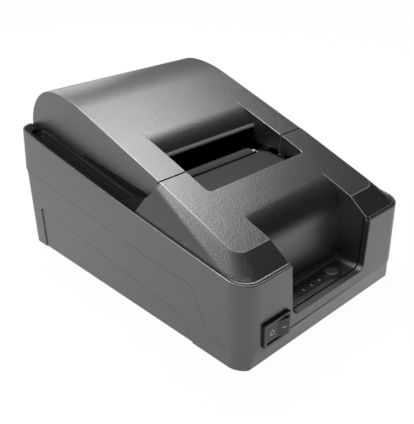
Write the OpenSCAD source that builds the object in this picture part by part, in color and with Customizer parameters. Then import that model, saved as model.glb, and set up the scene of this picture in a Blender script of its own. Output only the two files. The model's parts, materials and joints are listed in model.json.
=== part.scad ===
// Desktop receipt printer for 58 mm paper, drop-in roll, lid hinged at the rear.
// Millimetres. Y runs from the front wall to the rear wall, Z up.
// Every module below is written with y = 0 on the front wall and z = 0 on the case's bottom edge;
// placed() then moves it so that the origin lies under the middle of the whole printer, on the floor.

/* [Case] */
// Width of the case across its raised side bands
case_w = 143; // [139:0.5:148]
// Length of the case's rim from front wall to rear wall
case_l = 210; // [208:0.5:216]
// Height of the front wall
front_h = 53.4; // [52.5:0.1:54.5]
// Height of the side walls at the rear
rear_h = 87.5; // [87:0.1:89]
// How far the rear wall flares out between the rim and the crease
rear_flare = 4.2; // [2:0.2:5]
// How far the rim line sags below a straight line
rim_sag = 1.4; // [0:0.1:2]
// Thickness of the side and rear walls
wall = 2.5; // [2.2:0.1:3]
// Thickness of the front wall
front_wall = 4.2; // [3.8:0.1:5]
// Radius of the two front corners in plan
front_r = 12.5; // [10:0.5:16]
// Radius of the two rear corners in plan
rear_r = 9; // [6:0.5:12]
// Width of the rim's outer land
rim_land = 1.3; // [1:0.1:1.5]
// Depth of the rim's inner rebate
rebate_h = 1.5; // [1:0.1:2.5]
// Depth of the step below the side crease
crease_step = 0.6; // [0.4:0.1:0.8]
// Height of the crease at the front
crease_front_h = 13.2; // [11.5:0.1:14]
// Height of the crease on the side where it levels out behind the front corner
crease_mid_h = 39.9; // [36:0.1:42]
// Height of the crease at the rear
crease_rear_h = 58; // [52:0.5:62]
// Depth of the recessed side panel
panel_depth = 0.7; // [0.5:0.1:0.9]
// Height of the side panel at its front end
panel_front_h = 15.4; // [12:0.2:18]
// Height of the side panel at its rear end
panel_rear_h = 30.6; // [26:0.2:34]
// How far the front wall draws in at the bottom edge
toe_in = 2.4; // [1:0.1:2.6]

/* [Front recess] */
// Distance of the recess from the case's side, at the front wall's top edge
recess_side_w = 36.2; // [35.9:0.1:39]
// Draft of the recess sides, millimetres per millimetre of height
recess_draft = 0.07; // [0:0.01:0.1]
// Height of the recess floor
recess_floor_h = 20.4; // [19:0.2:24]
// Distance of the recess back wall from the front wall
recess_back_y = 21; // [19:0.2:24]
// Radius of the shoulder that rolls from the top plane into the recess
recess_shoulder_r = 23; // [18:0.5:25]
// Radius of the recess's lower corners
recess_corner_r = 5; // [3:0.5:7]

/* [Upper housing] */
// Distance of the top plane's front edge from the front wall
top_front_y = 15.4; // [13:0.2:17]
// Distance of the seam between housing and lid from the front wall
seam_y = 74.3; // [73:0.1:76]
// Height of the seam between housing and lid
seam_z = 85.4; // [84.4:0.1:86]
// Slope of the top plane in degrees
top_angle = 20.6; // [19.8:0.1:21.4]
// Width of the band between the lid and the case's side
side_band = 10.8; // [10.2:0.1:12.2]
// Thickness of the housing's walls
shell_t = 2.3; // [2:0.1:2.6]
// Half width of the paper window
window_half_w = 41; // [40.5:0.1:42]
// Distance of the window's front edge from the front wall
window_y = 56.3; // [55:0.1:58]
// Radius of the window's front corners
window_r = 3; // [1:0.5:5]
// Radius of the finger grooves beside the lid
groove_r = 4.4; // [3.6:0.1:4.5]
// Radius of the grooves' rising front ends
groove_end_r = 17.3; // [14:0.5:19]

/* [Lid] */
// Distance of the crest, where the lid's slope levels out, from its rear face
crest_inset = 48.4; // [46:0.2:50]
// Height of the lid's crown
crown_z = 115.2; // [113:0.2:118]
// Radius of the lid's rear shoulder
lid_rear_r = 33; // [28:0.5:36]
// Distance of the lid's rear face from the case's rear face
lid_rear_inset = 0.5; // [0.3:0.1:1.5]
// Thickness of the lid's walls
lid_t = 2.5; // [2:0.1:2.8]
// Height of the lid's lower edge at the seam
lid_edge_front_z = 72.6; // [72:0.1:73.4]
// Height of the lid's lower edge just before the hinge
lid_edge_rear_z = 85.3; // [84.9:0.1:86]
// Distance behind the seam at which the lid's recess starts
scoop_start = 39.7; // [38:0.2:42]
// Radius of the lid recess's shoulder
scoop_r = 28; // [26:0.5:30]
// Angle at which the recess's surface ends at the lip, in degrees
scoop_end_angle = 60; // [55:1:63]
// Radius of the lip's rounded edge
lip_r = 1.3; // [1.1:0.1:1.4]
// Height of the hinge axis
hinge_z = 81.5; // [80.5:0.1:81.8]
// Radius of the lid's hinge barrel
barrel_r = 6.5; // [6:0.1:6.8]
// Radius of the hinge pins
hinge_pin_r = 2; // [1.5:0.1:2.5]

/* [Print mechanism] */
// Distance of the platen's axis from the front wall
platen_y = 91.5; // [90.8:0.1:92.5]
// Height of the platen's axis
platen_z = 69.5; // [69:0.1:70.2]
// Radius of the rubber platen
platen_r = 5.75; // [5.4:0.05:6]
// Radius of the platen's shaft
shaft_r = 2; // [1.5:0.1:2.5]
// Half length of the platen's rubber
platen_half_l = 29; // [28.5:0.1:29.3]
// Tooth size (module) of the gear train
gear_module = 0.75; // [0.72:0.01:0.78]
// Face width of the gears
gear_w = 3.8; // [3:0.1:4]
// Radius of the stepper motor's can
motor_r = 10; // [8:0.5:10.5]
// Length of the stepper motor's can
motor_l = 16; // [13:0.5:18]
// Thickness of the print head's ceramic plate
head_t = 1.2; // [0.8:0.1:1.6]
// Thickness of the heat sink under the print head
sink_t = 4.2; // [3.5:0.1:4.6]

/* [Paper bin] */
// Inner width of the paper bin
bin_w = 60; // [59:0.5:61]
// Distance of the bin's cradle from the print mechanism
bin_front_gap = 14; // [12.5:0.5:16]
// Distance of the bin's cradle from the rim's rear edge
bin_rear_gap = 21; // [19.5:0.5:24]
// Height of the paper bin's centre
bin_z = 66; // [64:0.5:68]
// Thickness of the paper bin's walls
bin_t = 2; // [1.5:0.1:2.4]

/* [Controls] */
// Distance of the rocker switch's middle from the case's side
switch_inset = 24; // [23.5:0.5:24.5]
// Height of the rocker switch's middle
switch_z = 19.8; // [18:0.2:22]
// Length of the switch's bezel
bezel_l = 21; // [20:0.5:21.5]
// Height of the switch's bezel
bezel_h = 15; // [14:0.5:15.5]
// Thickness of the switch's bezel
bezel_t = 2; // [1.6:0.1:2.4]
// Radius of the rocker's rounded ends about its pivot
rocker_r = 8.4; // [8:0.1:8.6]
// Tilt of the rocker each way, in degrees
rocker_tilt = 8; // [6:0.5:9]
// Distance of the feed button from the centre line
button_x = 16.2; // [14:0.2:18]
// Distance of the feed button from the front wall
button_y = 11.4; // [10.5:0.1:12.5]
// Radius of the feed button
button_r = 4.2; // [3.4:0.1:4.6]
// Travel of the feed button
button_travel = 1; // [0.6:0.1:1.2]
// Number of indicators in the row
lamp_count = 3; // [2:1:4]

/* [Base] */
// Thickness of the base plate
base_t = 2.5; // [2:0.1:3]
// How far the rubber feet stand below the case
foot_proud = 1.5; // [1:0.1:3]
// Radius of the rubber feet
foot_r = 7; // [5:0.5:8]
// Height of the main board above the case's bottom edge
board_z = 8; // [7.5:0.1:9]

/* [Hidden] */
$fn = 64;
fit = 0.15;          // clearance of a piece in its seat
gap = 0.3;           // clearance between pieces that move past each other
run = 0.05;          // radial clearance of a pin or shaft that turns in its hole
half_w = case_w / 2;
rim_fit = rim_land + fit;              // inset of the upper housing's edge from the case's side
inner_w = half_w - wall;               // half width inside the case
lid_w = case_w - 2 * side_band;        // width of the lid, and of the top plane in front of it
lid_half = lid_w / 2;
lid_y1 = case_l - lid_rear_inset;      // the lid's rear face
recess_half_w = half_w - recess_side_w;
switch_x = switch_inset - half_w;
crease_y1 = case_l + rear_flare;       // the rear wall where it bulges most, just above the crease
rear_face_y = crease_y1 - crease_step; // the rear wall below the crease
hinge_y = lid_y1 - barrel_r;
lid_gap = 0.4;                         // between the lid's lower edge and the deck
side_gap = 0.3;                        // between the lid's sides and the housing
seam_gap = 0.5;                        // between the lid's front edge and the housing
cheek_y0 = 72;                         // front and rear edges of the print mechanism's frame
cheek_y1 = 103;
deck_t = 2.4;
deck_open_w = window_half_w + 5.5;     // half width of the opening under the lid
low_wall_x = lid_half - 2.4;           // inner faces of the low walls beside the deck
deck_y0 = seam_y - shell_t + 0.4;
deck_rear_y = hinge_y - barrel_r - gap;
lid_edge_angle = atan((lid_edge_rear_z - lid_edge_front_z) / (deck_rear_y - seam_y));
top_front_z = seam_z - (seam_y - top_front_y) * tan(top_angle);

// ---- Outlines and helpers ----

// One corner of an outline: an arc of radius p[2] that is tangent to the lines to its neighbours
function corner_arc(a, b, c, r, n = 8) =
    let (u = (a - b) / norm(a - b), v = (c - b) / norm(c - b), turn = 180 - acos(u * v))
    r <= 0 || turn < 0.5 ? [b] :
    let (t = r * tan(turn / 2), middle = b + (u + v) / norm(u + v) * r / cos(turn / 2))
    [for (i = [0:n]) let (k = i / n, d0 = b + u * t - middle, d1 = b + v * t - middle)
        middle + (sin((1 - k) * turn) * d0 + sin(k * turn) * d1) / sin(turn)];
// An outline from corners [x, y, radius]
function smooth(pts, n = 8) = [for (i = [0:len(pts) - 1])
    let (a = pts[(i + len(pts) - 1) % len(pts)], b = pts[i], c = pts[(i + 1) % len(pts)])
    each corner_arc([a[0], a[1]], [b[0], b[1]], [c[0], c[1]], b[2], n)];
// Height of the case's rim, of the lid's lower edge and of the deck under it
function rim_z(y) = let (t = y / case_l)
    front_h + (rear_h - front_h) * t - rim_sag * 4 * t * (1 - t);
function lid_edge_z(y) = lid_edge_front_z + (y - seam_y) * tan(lid_edge_angle);
function deck_z(y) = lid_edge_z(y) - lid_gap;
function top_z(y) = seam_z - (seam_y - y) * tan(top_angle);
// Side outline of everything below the rim line moved by dz
rim_n = 12;
rim_over = 4;                          // how far the outline reaches past the rim's front and rear
function rim_region(dz = 0) = concat([[-rim_over, 0]],
    [for (i = [0:rim_n]) let (y = -rim_over + (case_l + 2 * rim_over) * i / rim_n) [y, rim_z(y) + dz]],
    [[case_l + rim_over + rear_flare, rim_z(case_l) + dz], [case_l + rim_over + rear_flare, 0]]);

// Moves a piece from the working frame to the printer's own frame
module placed() {
    translate([0, -(crease_y1 - rocker_reach) / 2, foot_proud]) children();
}

// Extrudes a (y, z) outline along X
module across(x0, x1) {
    translate([x0, 0, 0]) rotate([90, 0, 90]) linear_extrude(x1 - x0) children();
}

// Extrudes an (x, z) outline along Y
module along(y0, y1) {
    translate([0, y1, 0]) rotate([90, 0, 0]) linear_extrude(y1 - y0) children();
}

// The same piece on both sides of the centre line
module both_sides() {
    children();
    mirror([1, 0, 0]) children();
}

// Plan of the case, inset all round, and longer at the rear by back
module plan(inset, back = 0) {
    w = half_w - inset;
    front = inset;
    rear = case_l + back - inset;
    rf = front_r - inset;
    rr = rear_r - inset;
    translate([-w, front + rf]) square([2 * w, rear - rr - front - rf]);
    translate([-w + rf, front]) square([2 * (w - rf), rf + 1]);
    translate([-w + rr, rear - rr - 1]) square([2 * (w - rr), rr + 1]);
    for (s = [-1, 1]) {
        translate([s * (w - rf), front + rf]) circle(rf);
        translate([s * (w - rr), rear - rr]) circle(rr);
    }
}

// A screw with a domed head, head up: its head's underside is at z = 0
module screw(r, l, head_r, head_h) {
    cylinder(r = head_r, h = head_h);
    translate([0, 0, -l]) cylinder(r = r, h = l);
}

// ---- Lower case ----

panel_y0 = 41;                         // front end of the side panel at the bottom edge
panel_y1 = case_l - 14;                // rear end of the side panel
notch_z = hinge_z - barrel_r - 0.8;    // rear wall's top edge under the lid's barrel
port_x = [-30, 0, 28];                 // DC jack, USB port, drawer port
post_y = [26, 100, case_l - 24];       // screw posts along each side
post_x = inner_w - 5.2;
post_r = 4;
post_h = 16;
case_screw_r = 1.4;

// Side outline of the region below the crease line
function crease_region() = concat(
    smooth([[crease_y1 + 5, crease_rear_h, 0], [78, crease_mid_h + 1.4, 90], [39.5, crease_mid_h - 0.6, 7],
        [26.5, crease_front_h - 0.6, 11], [-1, crease_front_h, 0], [-1, -1, 0], [crease_y1 + 5, -1, 0]]));
// Side outline of the recessed panel
function panel_region() = smooth([[panel_y1, -1, 0], [panel_y1, panel_rear_h, 2.5],
    [50, panel_front_h, 6], [panel_y0, 1, 0], [panel_y0 - 1, -1, 0]]);
// Half width of the front recess at height z
function recess_w(z) = recess_half_w - recess_draft * (front_h - z);
// Front outline of the recess, grown by g
function recess_front(g = 0) = let (top = 100, bottom = recess_floor_h - g)
    smooth([[-recess_w(top) - g, top, 0], [-recess_w(bottom) - g, bottom, recess_corner_r + g],
        [recess_w(bottom) + g, bottom, recess_corner_r + g], [recess_w(top) + g, top, 0]]);

module switch_hole_outline(clear) {
    translate([switch_x, switch_z])
        square([switch_body_l + 2 * clear, switch_body_h + 2 * clear], center = true);
}

// The case's plan extruded along a line that leans forward, so that the rear wall flares below the rim
lean_y = 120;                          // the walls lean behind this line
rear_lean = atan(rear_flare / (rear_h - crease_rear_h));

module leaning_body(inset) {
    translate([0, case_l, rear_h]) rotate([rear_lean, 0, 0]) translate([0, -case_l, -rear_h - 20])
        linear_extrude(rear_h + 40) plan(inset);
}

module lower_case() color([0.10, 0.10, 0.11]) placed() {
    difference() {
        union() {
            // band between the crease and the rim, upright in front and leaning at the rear
            difference() {
                intersection() {
                    union() {
                        intersection() {
                            linear_extrude(rear_h + 5) plan(0);
                            translate([-half_w, 0, 0]) cube([case_w, lean_y, rear_h + 5]);
                        }
                        intersection() {
                            leaning_body(0);
                            translate([-half_w, lean_y, crease_mid_h]) cube([case_w, case_l, rear_h]);
                        }
                    }
                    across(-half_w - 1, half_w + 1) polygon(rim_region(0));
                }
                across(-half_w - 2, half_w + 2) polygon(crease_region());
            }
            // walls below the crease
            intersection() {
                linear_extrude(crease_rear_h + 5) plan(crease_step, rear_flare);
                across(-half_w - 1, half_w + 1) polygon(crease_region());
            }
        }
        // the hollow inside
        translate([0, 0, -1]) linear_extrude(rear_h + 10) intersection() {
            plan(wall);
            translate([-half_w, front_wall]) square([case_w, case_l]);
        }
        translate([0, 0, -1]) linear_extrude(crease_rear_h - 2) intersection() {
            plan(wall + crease_step, rear_flare);
            translate([-half_w, lean_y]) square([case_w, case_l]);
        }
        intersection() {
            leaning_body(wall);
            translate([-half_w, case_l - 20, crease_rear_h - 8]) cube([case_w, 40, rear_h - crease_rear_h]);
        }
        // rebate that the upper housing sits in
        difference() {
            linear_extrude(rear_h + 10) plan(rim_land);
            across(-half_w, half_w) polygon(rim_region(-rebate_h));
        }
        // recessed side panels
        both_sides() across(half_w - crease_step - panel_depth, half_w + 2) polygon(panel_region());
        // toe-in below the front step
        across(-half_w - 1, half_w + 1)
            polygon([[-3, crease_front_h], [crease_step, crease_front_h], [toe_in, -0.02], [-3, -0.02]]);
        // front cut-out
        along(-3, front_wall + 3) polygon(recess_front(fit));
        // rocker switch hole
        along(-3, front_wall + 3) switch_hole_outline(fit);
        // notch under the lid's hinge barrel
        translate([-lid_half - side_gap, case_l - 30, notch_z]) cube([lid_w + 2 * side_gap, 40, 60]);
        // recess and holes for the three ports
        along(port_face_y, rear_face_y + 2) port_panel_outline();
        along(rear_face_y - 10, rear_face_y + 2) port_holes(fit);
    }
    // posts for the base plate's screws
    both_sides() for (y = post_y) difference() {
        union() {
            translate([post_x, y, base_t + fit]) cylinder(r = post_r, h = post_h);
            translate([post_x, y - 1, base_t + fit]) cube([inner_w - post_x + 0.6, 2, post_h]);
        }
        translate([post_x, y, 0]) cylinder(r = case_screw_r - fit, h = post_h);
    }
}

port_margin = 8;                       // of the recess round the outermost ports
module port_panel_outline() {
    x0 = port_x[0] - jack_w / 2 - port_margin;
    x1 = port_x[2] + drawer_w / 2 + port_margin;
    z1 = drawer_z + drawer_h / 2 + port_margin;
    polygon(smooth([[x0, base_t + 1.5, 3], [x1, base_t + 1.5, 3], [x1, z1, 3], [x0, z1, 3]]));
}

module port_holes(clear) {
    translate([port_x[0], jack_z]) square([jack_w + 2 * clear, jack_h + 2 * clear], center = true);
    translate([port_x[1], usb_z]) square([usb_w + 2 * clear, usb_h + 2 * clear], center = true);
    translate([port_x[2], drawer_z]) square([drawer_w + 2 * clear, drawer_h + 2 * clear], center = true);
}

// ---- Base plate, feet and case screws ----

foot_x = half_w - 19.5;
foot_y = [24, case_l - 26];
stand_r = 3.5;
mech_post = [[-36.5, 76], [36.5, 76], [-36.5, 100], [36.5, 100]];
board_half_w = 52;
board_y0 = 118;
board_y1 = rear_face_y - wall - 1;
board_post = [for (y = [board_y0 + 6, board_y1 - 18.5]) for (s = [-1, 1]) [s * (board_half_w - 5), y]];
pilot_r = 1.1;
head_recess = 1.3;

module base_plate() color([0.09, 0.09, 0.10]) placed() {
    difference() {
        union() {
            linear_extrude(base_t) intersection() {
                plan(wall + crease_step + gap, rear_flare);
                translate([-half_w, front_wall + gap]) square([case_w, case_l]);
            }
            for (p = mech_post) translate([p[0], p[1], 0]) cylinder(r = stand_r, h = frame_floor_z);
            for (p = board_post) translate([p[0], p[1], 0]) cylinder(r = stand_r, h = board_z);
            // stiffening ribs under the mechanism and beside the board
            for (y = [50, 62, 112]) translate([-foot_x, y, 0]) cube([2 * foot_x, 1.6, base_t + 3]);
            both_sides() translate([foot_x, 50, 0]) cube([1.6, case_l - 80, base_t + 3]);
        }
        for (p = concat(mech_post, board_post)) translate([p[0], p[1], base_t]) cylinder(r = pilot_r, h = 20);
        both_sides() for (y = post_y) {
            translate([post_x, y, -1]) cylinder(r = case_screw_r + fit, h = 10);
            translate([post_x, y, -1]) cylinder(r = 3.2, h = 1 + head_recess);
        }
        // sockets for the rubber feet
        both_sides() for (y = foot_y) translate([foot_x, y, -1]) cylinder(r = foot_r + fit, h = 1.8);
    }
}

module rubber_feet() color([0.05, 0.05, 0.05]) placed() {
    both_sides() for (y = foot_y) translate([foot_x, y, -foot_proud]) rotate_extrude()
        polygon(smooth([[0, 0, 0], [foot_r, 0, 0.7], [foot_r, foot_proud + 0.8, 0],
            [0, foot_proud + 0.8, 0]], 4));
}

module case_screws() color([0.55, 0.55, 0.57]) placed() {
    both_sides() for (y = post_y) translate([post_x, y, head_recess]) rotate([180, 0, 0]) difference() {
        translate([0, 0, 0]) screw(case_screw_r - fit, 11, 2.6, 1.1);
        for (a = [0, 90]) rotate([0, 0, a]) translate([-1.5, -0.25, 0.5]) cube([3, 0.5, 1]);
    }
}

// ---- Upper housing ----

rim_slope = (rim_z(case_l / 2) - rim_z(0)) / (case_l / 2);
cowl_y1 = seam_y + 27;                 // rear end of the flanks beside the lid
cowl_fit = rim_fit + 0.2;              // the cowl's foot stands this far in from the case's side
groove_x = half_w - rim_fit - 1.45 - groove_r;
groove_lift = 0.8;                     // groove axis above the rim line
groove_y0 = seam_y + 23;
groove_y1 = case_l - 14;
bar_w = inner_w - 0.2;                 // half width of what reaches down inside the case
hinge_block_y0 = hinge_y - 5.5;
recess_t = 2;                          // wall of the front recess
recess_y0 = front_wall + fit;

// A thin plate with the given plan, laid on a slope that passes height z0 at y = 0
module sloped_plate(z0, slope) {
    translate([0, 0, z0]) rotate([atan(slope), 0, 0]) linear_extrude(0.01)
        scale([1, norm([1, slope])]) children();
}

// Plan of the cowl's foot and of its top, with straight-sided corners so that both ends match
module cowl_foot(inset) {
    polygon(smooth([[-half_w + inset, cowl_y1, 0], [-half_w + inset, inset, front_r - inset],
        [half_w - inset, inset, front_r - inset], [half_w - inset, cowl_y1, 0]]));
}

module cowl_top(inset) {
    polygon(smooth([[-lid_half + inset, cowl_y1, 0], [-lid_half + inset, top_front_y + inset, 7],
        [lid_half - inset, top_front_y + inset, 7], [lid_half - inset, cowl_y1, 0]]));
}

module cowl() {
    hull() {
        sloped_plate(rim_z(0) - 0.7, rim_slope) cowl_foot(cowl_fit);
        sloped_plate(top_z(0) - 0.01, tan(top_angle)) cowl_top(0);
    }
}

module cowl_hollow() {
    hull() {
        sloped_plate(rim_z(0) - 9, rim_slope) cowl_foot(cowl_fit + shell_t);
        sloped_plate(rim_z(0) - 0.9, rim_slope) cowl_foot(cowl_fit + shell_t);
        sloped_plate(top_z(0) - shell_t, tan(top_angle)) cowl_top(shell_t * 0.6);
    }
}

// Side outline of the front recess, grown by g: floor, back wall, shoulder
shoulder_y = recess_back_y + recess_shoulder_r;
shoulder_start_y = shoulder_y - recess_shoulder_r * sin(top_angle);
shoulder_z = top_z(shoulder_start_y) - recess_shoulder_r * cos(top_angle);
function recess_side(g = 0) = let (r = recess_shoulder_r - g)
    concat(smooth([[-20, 140, 0], [-20, recess_floor_h - g, 0], [recess_back_y + g, recess_floor_h - g, 3.2],
            [recess_back_y + g, shoulder_z, 0]]),
        [for (i = [0:12]) let (a = 180 - i * (90 - top_angle) / 12)
            [shoulder_y + r * cos(a), shoulder_z + r * sin(a)]],
        [[shoulder_start_y + 3, 140]]);

module recess_void() {
    intersection() {
        along(-20, 60) polygon(recess_front(0));
        across(-50, 50) polygon(recess_side(0));
    }
}

// Walls of the recess: behind the case's front wall, and up into the cowl's skin
module recess_walls() {
    intersection() {
        along(-20, 60) polygon(recess_front(recess_t));
        across(-50, 50) intersection() {
            polygon(recess_side(recess_t));
            polygon([[recess_y0, 10], [recess_y0, rim_z(recess_y0) - rebate_h + fit],
                [2.6, rim_z(2.6) - rebate_h + fit], [2.6, rim_z(2.6) - 0.3],
                [top_front_y + 0.8, top_front_z - 0.9], [80, top_z(80) - 1.05], [80, 10]]);
        }
    }
}

// Side outline of what is cut away beside the lid, with its round front end
groove_end_y = seam_y + groove_end_r + 0.4;
groove_end_z = rim_z(groove_end_y) + groove_end_r + 4.6;
module beside_lid_outline() {
    difference() {
        polygon(concat([for (i = [0:12]) let (a = 180 + i * 7.5)
                [groove_end_y + groove_end_r * cos(a), groove_end_z + groove_end_r * sin(a)]],
            [[groove_end_y + 9, rim_z(groove_end_y + 9)], [groove_end_y + 9, rim_z(groove_end_y) - 5],
                [case_l + 2, rim_z(groove_end_y) - 5], [case_l + 2, 140],
                [groove_end_y - groove_end_r, 140]]));
        polygon(rim_region(0));
    }
}

module finger_groove() {
    p0 = [groove_y0, rim_z(groove_y0) + groove_lift];
    p1 = [groove_y1, rim_z(groove_y1) + groove_lift];
    tilt = atan2(p1[1] - p0[1], p1[0] - p0[0]);
    l = norm(p1 - p0) + groove_r;
    translate([groove_x, p0[0], p0[1]]) rotate([tilt - 90, 0, 0]) rotate_extrude()
        polygon(smooth([[0, -groove_r, 0], [groove_r, -groove_r, groove_r - 0.1],
            [groove_r, l, groove_r - 0.1], [0, l, 0]], 5));
}

module upper_housing() color([0.12, 0.12, 0.13]) placed() {
    lid_room = lid_half + side_gap;
    difference() {
        union() {
            // sloping cowl, hollow in front of the seam, solid flanks beside the lid behind it
            difference() {
                cowl();
                intersection() {
                    cowl_hollow();
                    translate([-half_w, -10, 0]) cube([case_w, seam_y - shell_t + 10, 140]);
                }
                across(-lid_room, lid_room) polygon([[seam_y, seam_z + 10], [seam_y, seam_z],
                    [seam_y + 0.6, deck_z(seam_y)], [seam_y + 0.6, 20], [case_l, 20], [case_l, 140]]);
                translate([-lid_room, seam_y - shell_t - 1, 20])
                    cube([2 * lid_room, 20, deck_z(seam_y) - deck_t - 20.3]);
            }
            // everything below the rim line: edge flange, bars with the grooves, hinge blocks
            intersection() {
                across(-half_w, half_w) polygon(rim_region(0));
                union() {
                    difference() {
                        linear_extrude(rear_h + 5) plan(rim_fit);
                        translate([0, 0, -1]) linear_extrude(rear_h + 10) plan(cowl_fit + shell_t + 0.6);
                        across(-half_w, half_w) polygon(rim_region(-rebate_h + fit));
                    }
                    both_sides() intersection() {
                        linear_extrude(120) plan(wall + 0.2);
                        union() {
                            difference() {
                                across(low_wall_x, bar_w) polygon([[seam_y - 2, 20], [case_l - 2, 20],
                                    [case_l - 2, 120], [seam_y - 2, 120]]);
                                across(low_wall_x - 1, bar_w + 1) polygon(rim_region(-5.4));
                            }
                            across(lid_room, bar_w) polygon([
                                [hinge_block_y0, hinge_z - 6], [hinge_block_y0, 110],
                                [case_l - wall - 0.2, 110], [case_l - wall - 0.2, hinge_z - 6]]);
                        }
                    }
                }
            }
            // low walls between the bars and the deck
            both_sides() difference() {
                across(low_wall_x, lid_room) polygon([[seam_y + 1, deck_z(seam_y + 1)],
                    [deck_rear_y, deck_z(deck_rear_y)], [deck_rear_y, 30], [seam_y + 1, 30]]);
                across(low_wall_x - 1, lid_half + 3) polygon(rim_region(-5));
            }
            // deck under the lid
            difference() {
                across(-lid_room, lid_room) polygon([
                    [deck_y0, deck_z(deck_y0)], [deck_rear_y, deck_z(deck_rear_y)],
                    [deck_rear_y, deck_z(deck_rear_y) - deck_t], [deck_y0, deck_z(deck_y0) - deck_t]]);
                translate([-deck_open_w, seam_y + 2.4, 0])
                    cube([2 * deck_open_w, deck_rear_y - seam_y - 4.4, 120]);
            }
            // frame of the paper window
            across(-window_half_w - 2, window_half_w + 2) polygon([[window_y - 2, deck_z(seam_y) + 0.2],
                [window_y - 2, top_z(window_y - 2) - 1], [seam_y - 1, top_z(seam_y - 1) - 1],
                [seam_y - 1, deck_z(seam_y) + 0.2]]);
            recess_walls();
            // bosses that carry the button board
            for (p = button_post) translate([p[0], p[1], button_board_z + button_board_t])
                cylinder(r = 2.6, h = recess_floor_h - recess_t - button_board_z - button_board_t + 0.5);
        }
        recess_void();
        // paper window
        linear_extrude(140) polygon(smooth([
            [-window_half_w, seam_y + 30, 0], [-window_half_w, window_y, window_r],
            [window_half_w, window_y, window_r], [window_half_w, seam_y + 30, 0]]));
        // room beside the lid, and the finger grooves
        both_sides() across(lid_room - 0.01, half_w + 1) beside_lid_outline();
        both_sides() finger_groove();
        // room for the hinge barrel
        across(-lid_room, lid_room) translate([hinge_y, hinge_z]) circle(barrel_r + gap);
        translate([-lid_room, hinge_y, 0]) cube([2 * lid_room, 30, 120]);
        // hinge bores
        both_sides() translate([lid_half - 1, hinge_y, hinge_z]) rotate([0, 90, 0])
            cylinder(r = hinge_pin_r + run, h = hinge_pin_l + 0.3 + 1);
        // feed button, lamps and board screws in the recess floor
        translate([button_x, button_y, 0]) cylinder(r = button_stem_r + fit, h = recess_floor_h + 2);
        translate([button_x, button_y, recess_floor_h - 1.2]) cylinder(r = button_r + fit, h = 5);
        for (i = [0:lamp_count - 1]) translate([lamp_x(i), lamp_y, 0])
            cylinder(r = lamp_r + fit, h = recess_floor_h + 2);
        for (p = button_post) translate([p[0], p[1], 0]) cylinder(r = 0.7, h = recess_floor_h - 1);
        // holes for the bin's screws
        at_bin_screws() cylinder(r = pilot_r, h = bin_flange_t + deck_t - 0.6);
    }
}

// ---- Lid ----

// Corner where the straight slope and the crown's level line meet
crest_y = lid_y1 - crest_inset;
lid_angle = atan((crown_z - seam_z) / (crest_y - seam_y - seam_gap));
crest_r = (lid_y1 - lid_rear_r - crest_y) / tan(lid_angle / 2);
scoop_y = seam_y + scoop_start;
scoop_z = seam_z + (scoop_y - seam_y - seam_gap) * tan(lid_angle);
scoop_mid = [scoop_y + scoop_r * sin(lid_angle), scoop_z - scoop_r * cos(lid_angle)];
function scoop_point(a, r) = [scoop_mid[0] + r * cos(a), scoop_mid[1] + r * sin(a)];
scoop_a0 = 90 + lid_angle;
scoop_a1 = 90 + scoop_end_angle;
function scoop_a(k) = scoop_a0 + (scoop_a1 - scoop_a0) * k;
lip_mid = scoop_point(scoop_a1, scoop_r - lip_r);

// Side outline of the lid, shrunk by g; the lower edge stays where it is
function lid_side(g = 0) = smooth([
    [seam_y + seam_gap + 0.8 + g, lid_edge_z(seam_y + seam_gap + 0.8), 0],
    [seam_y + seam_gap + g, seam_z + (g == 0 ? 0 : g * tan(lid_angle) - g / cos(lid_angle)),
        g == 0 ? 0.7 : 0],
    [crest_y + g * tan(lid_angle / 2), crown_z - g, crest_r - g],
    [lid_y1 - g, crown_z - g, lid_rear_r - g - 0.01],
    [lid_y1 - g, hinge_z, 0],
    [hinge_y, hinge_z, 0],
    [deck_rear_y + 1, lid_edge_z(deck_rear_y + 1), 0]], 16);

module lid_outline(g = 0) {
    polygon(lid_side(g));
    if (g < barrel_r - 1) translate([hinge_y, hinge_z]) circle(barrel_r - g);
}

// What lies in front of the lid's recess surface of radius r
module scoop_front(r, drop) {
    polygon(concat([for (i = [0:12]) scoop_point(scoop_a(i / 12), r)],
        let (lip = scoop_point(scoop_a1, r)) [[lip[0], lip[1] - drop], [seam_y - 20, lip[1] - drop],
            [seam_y - 20, 140], [scoop_point(scoop_a0, r)[0], 140]]));
}

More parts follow.
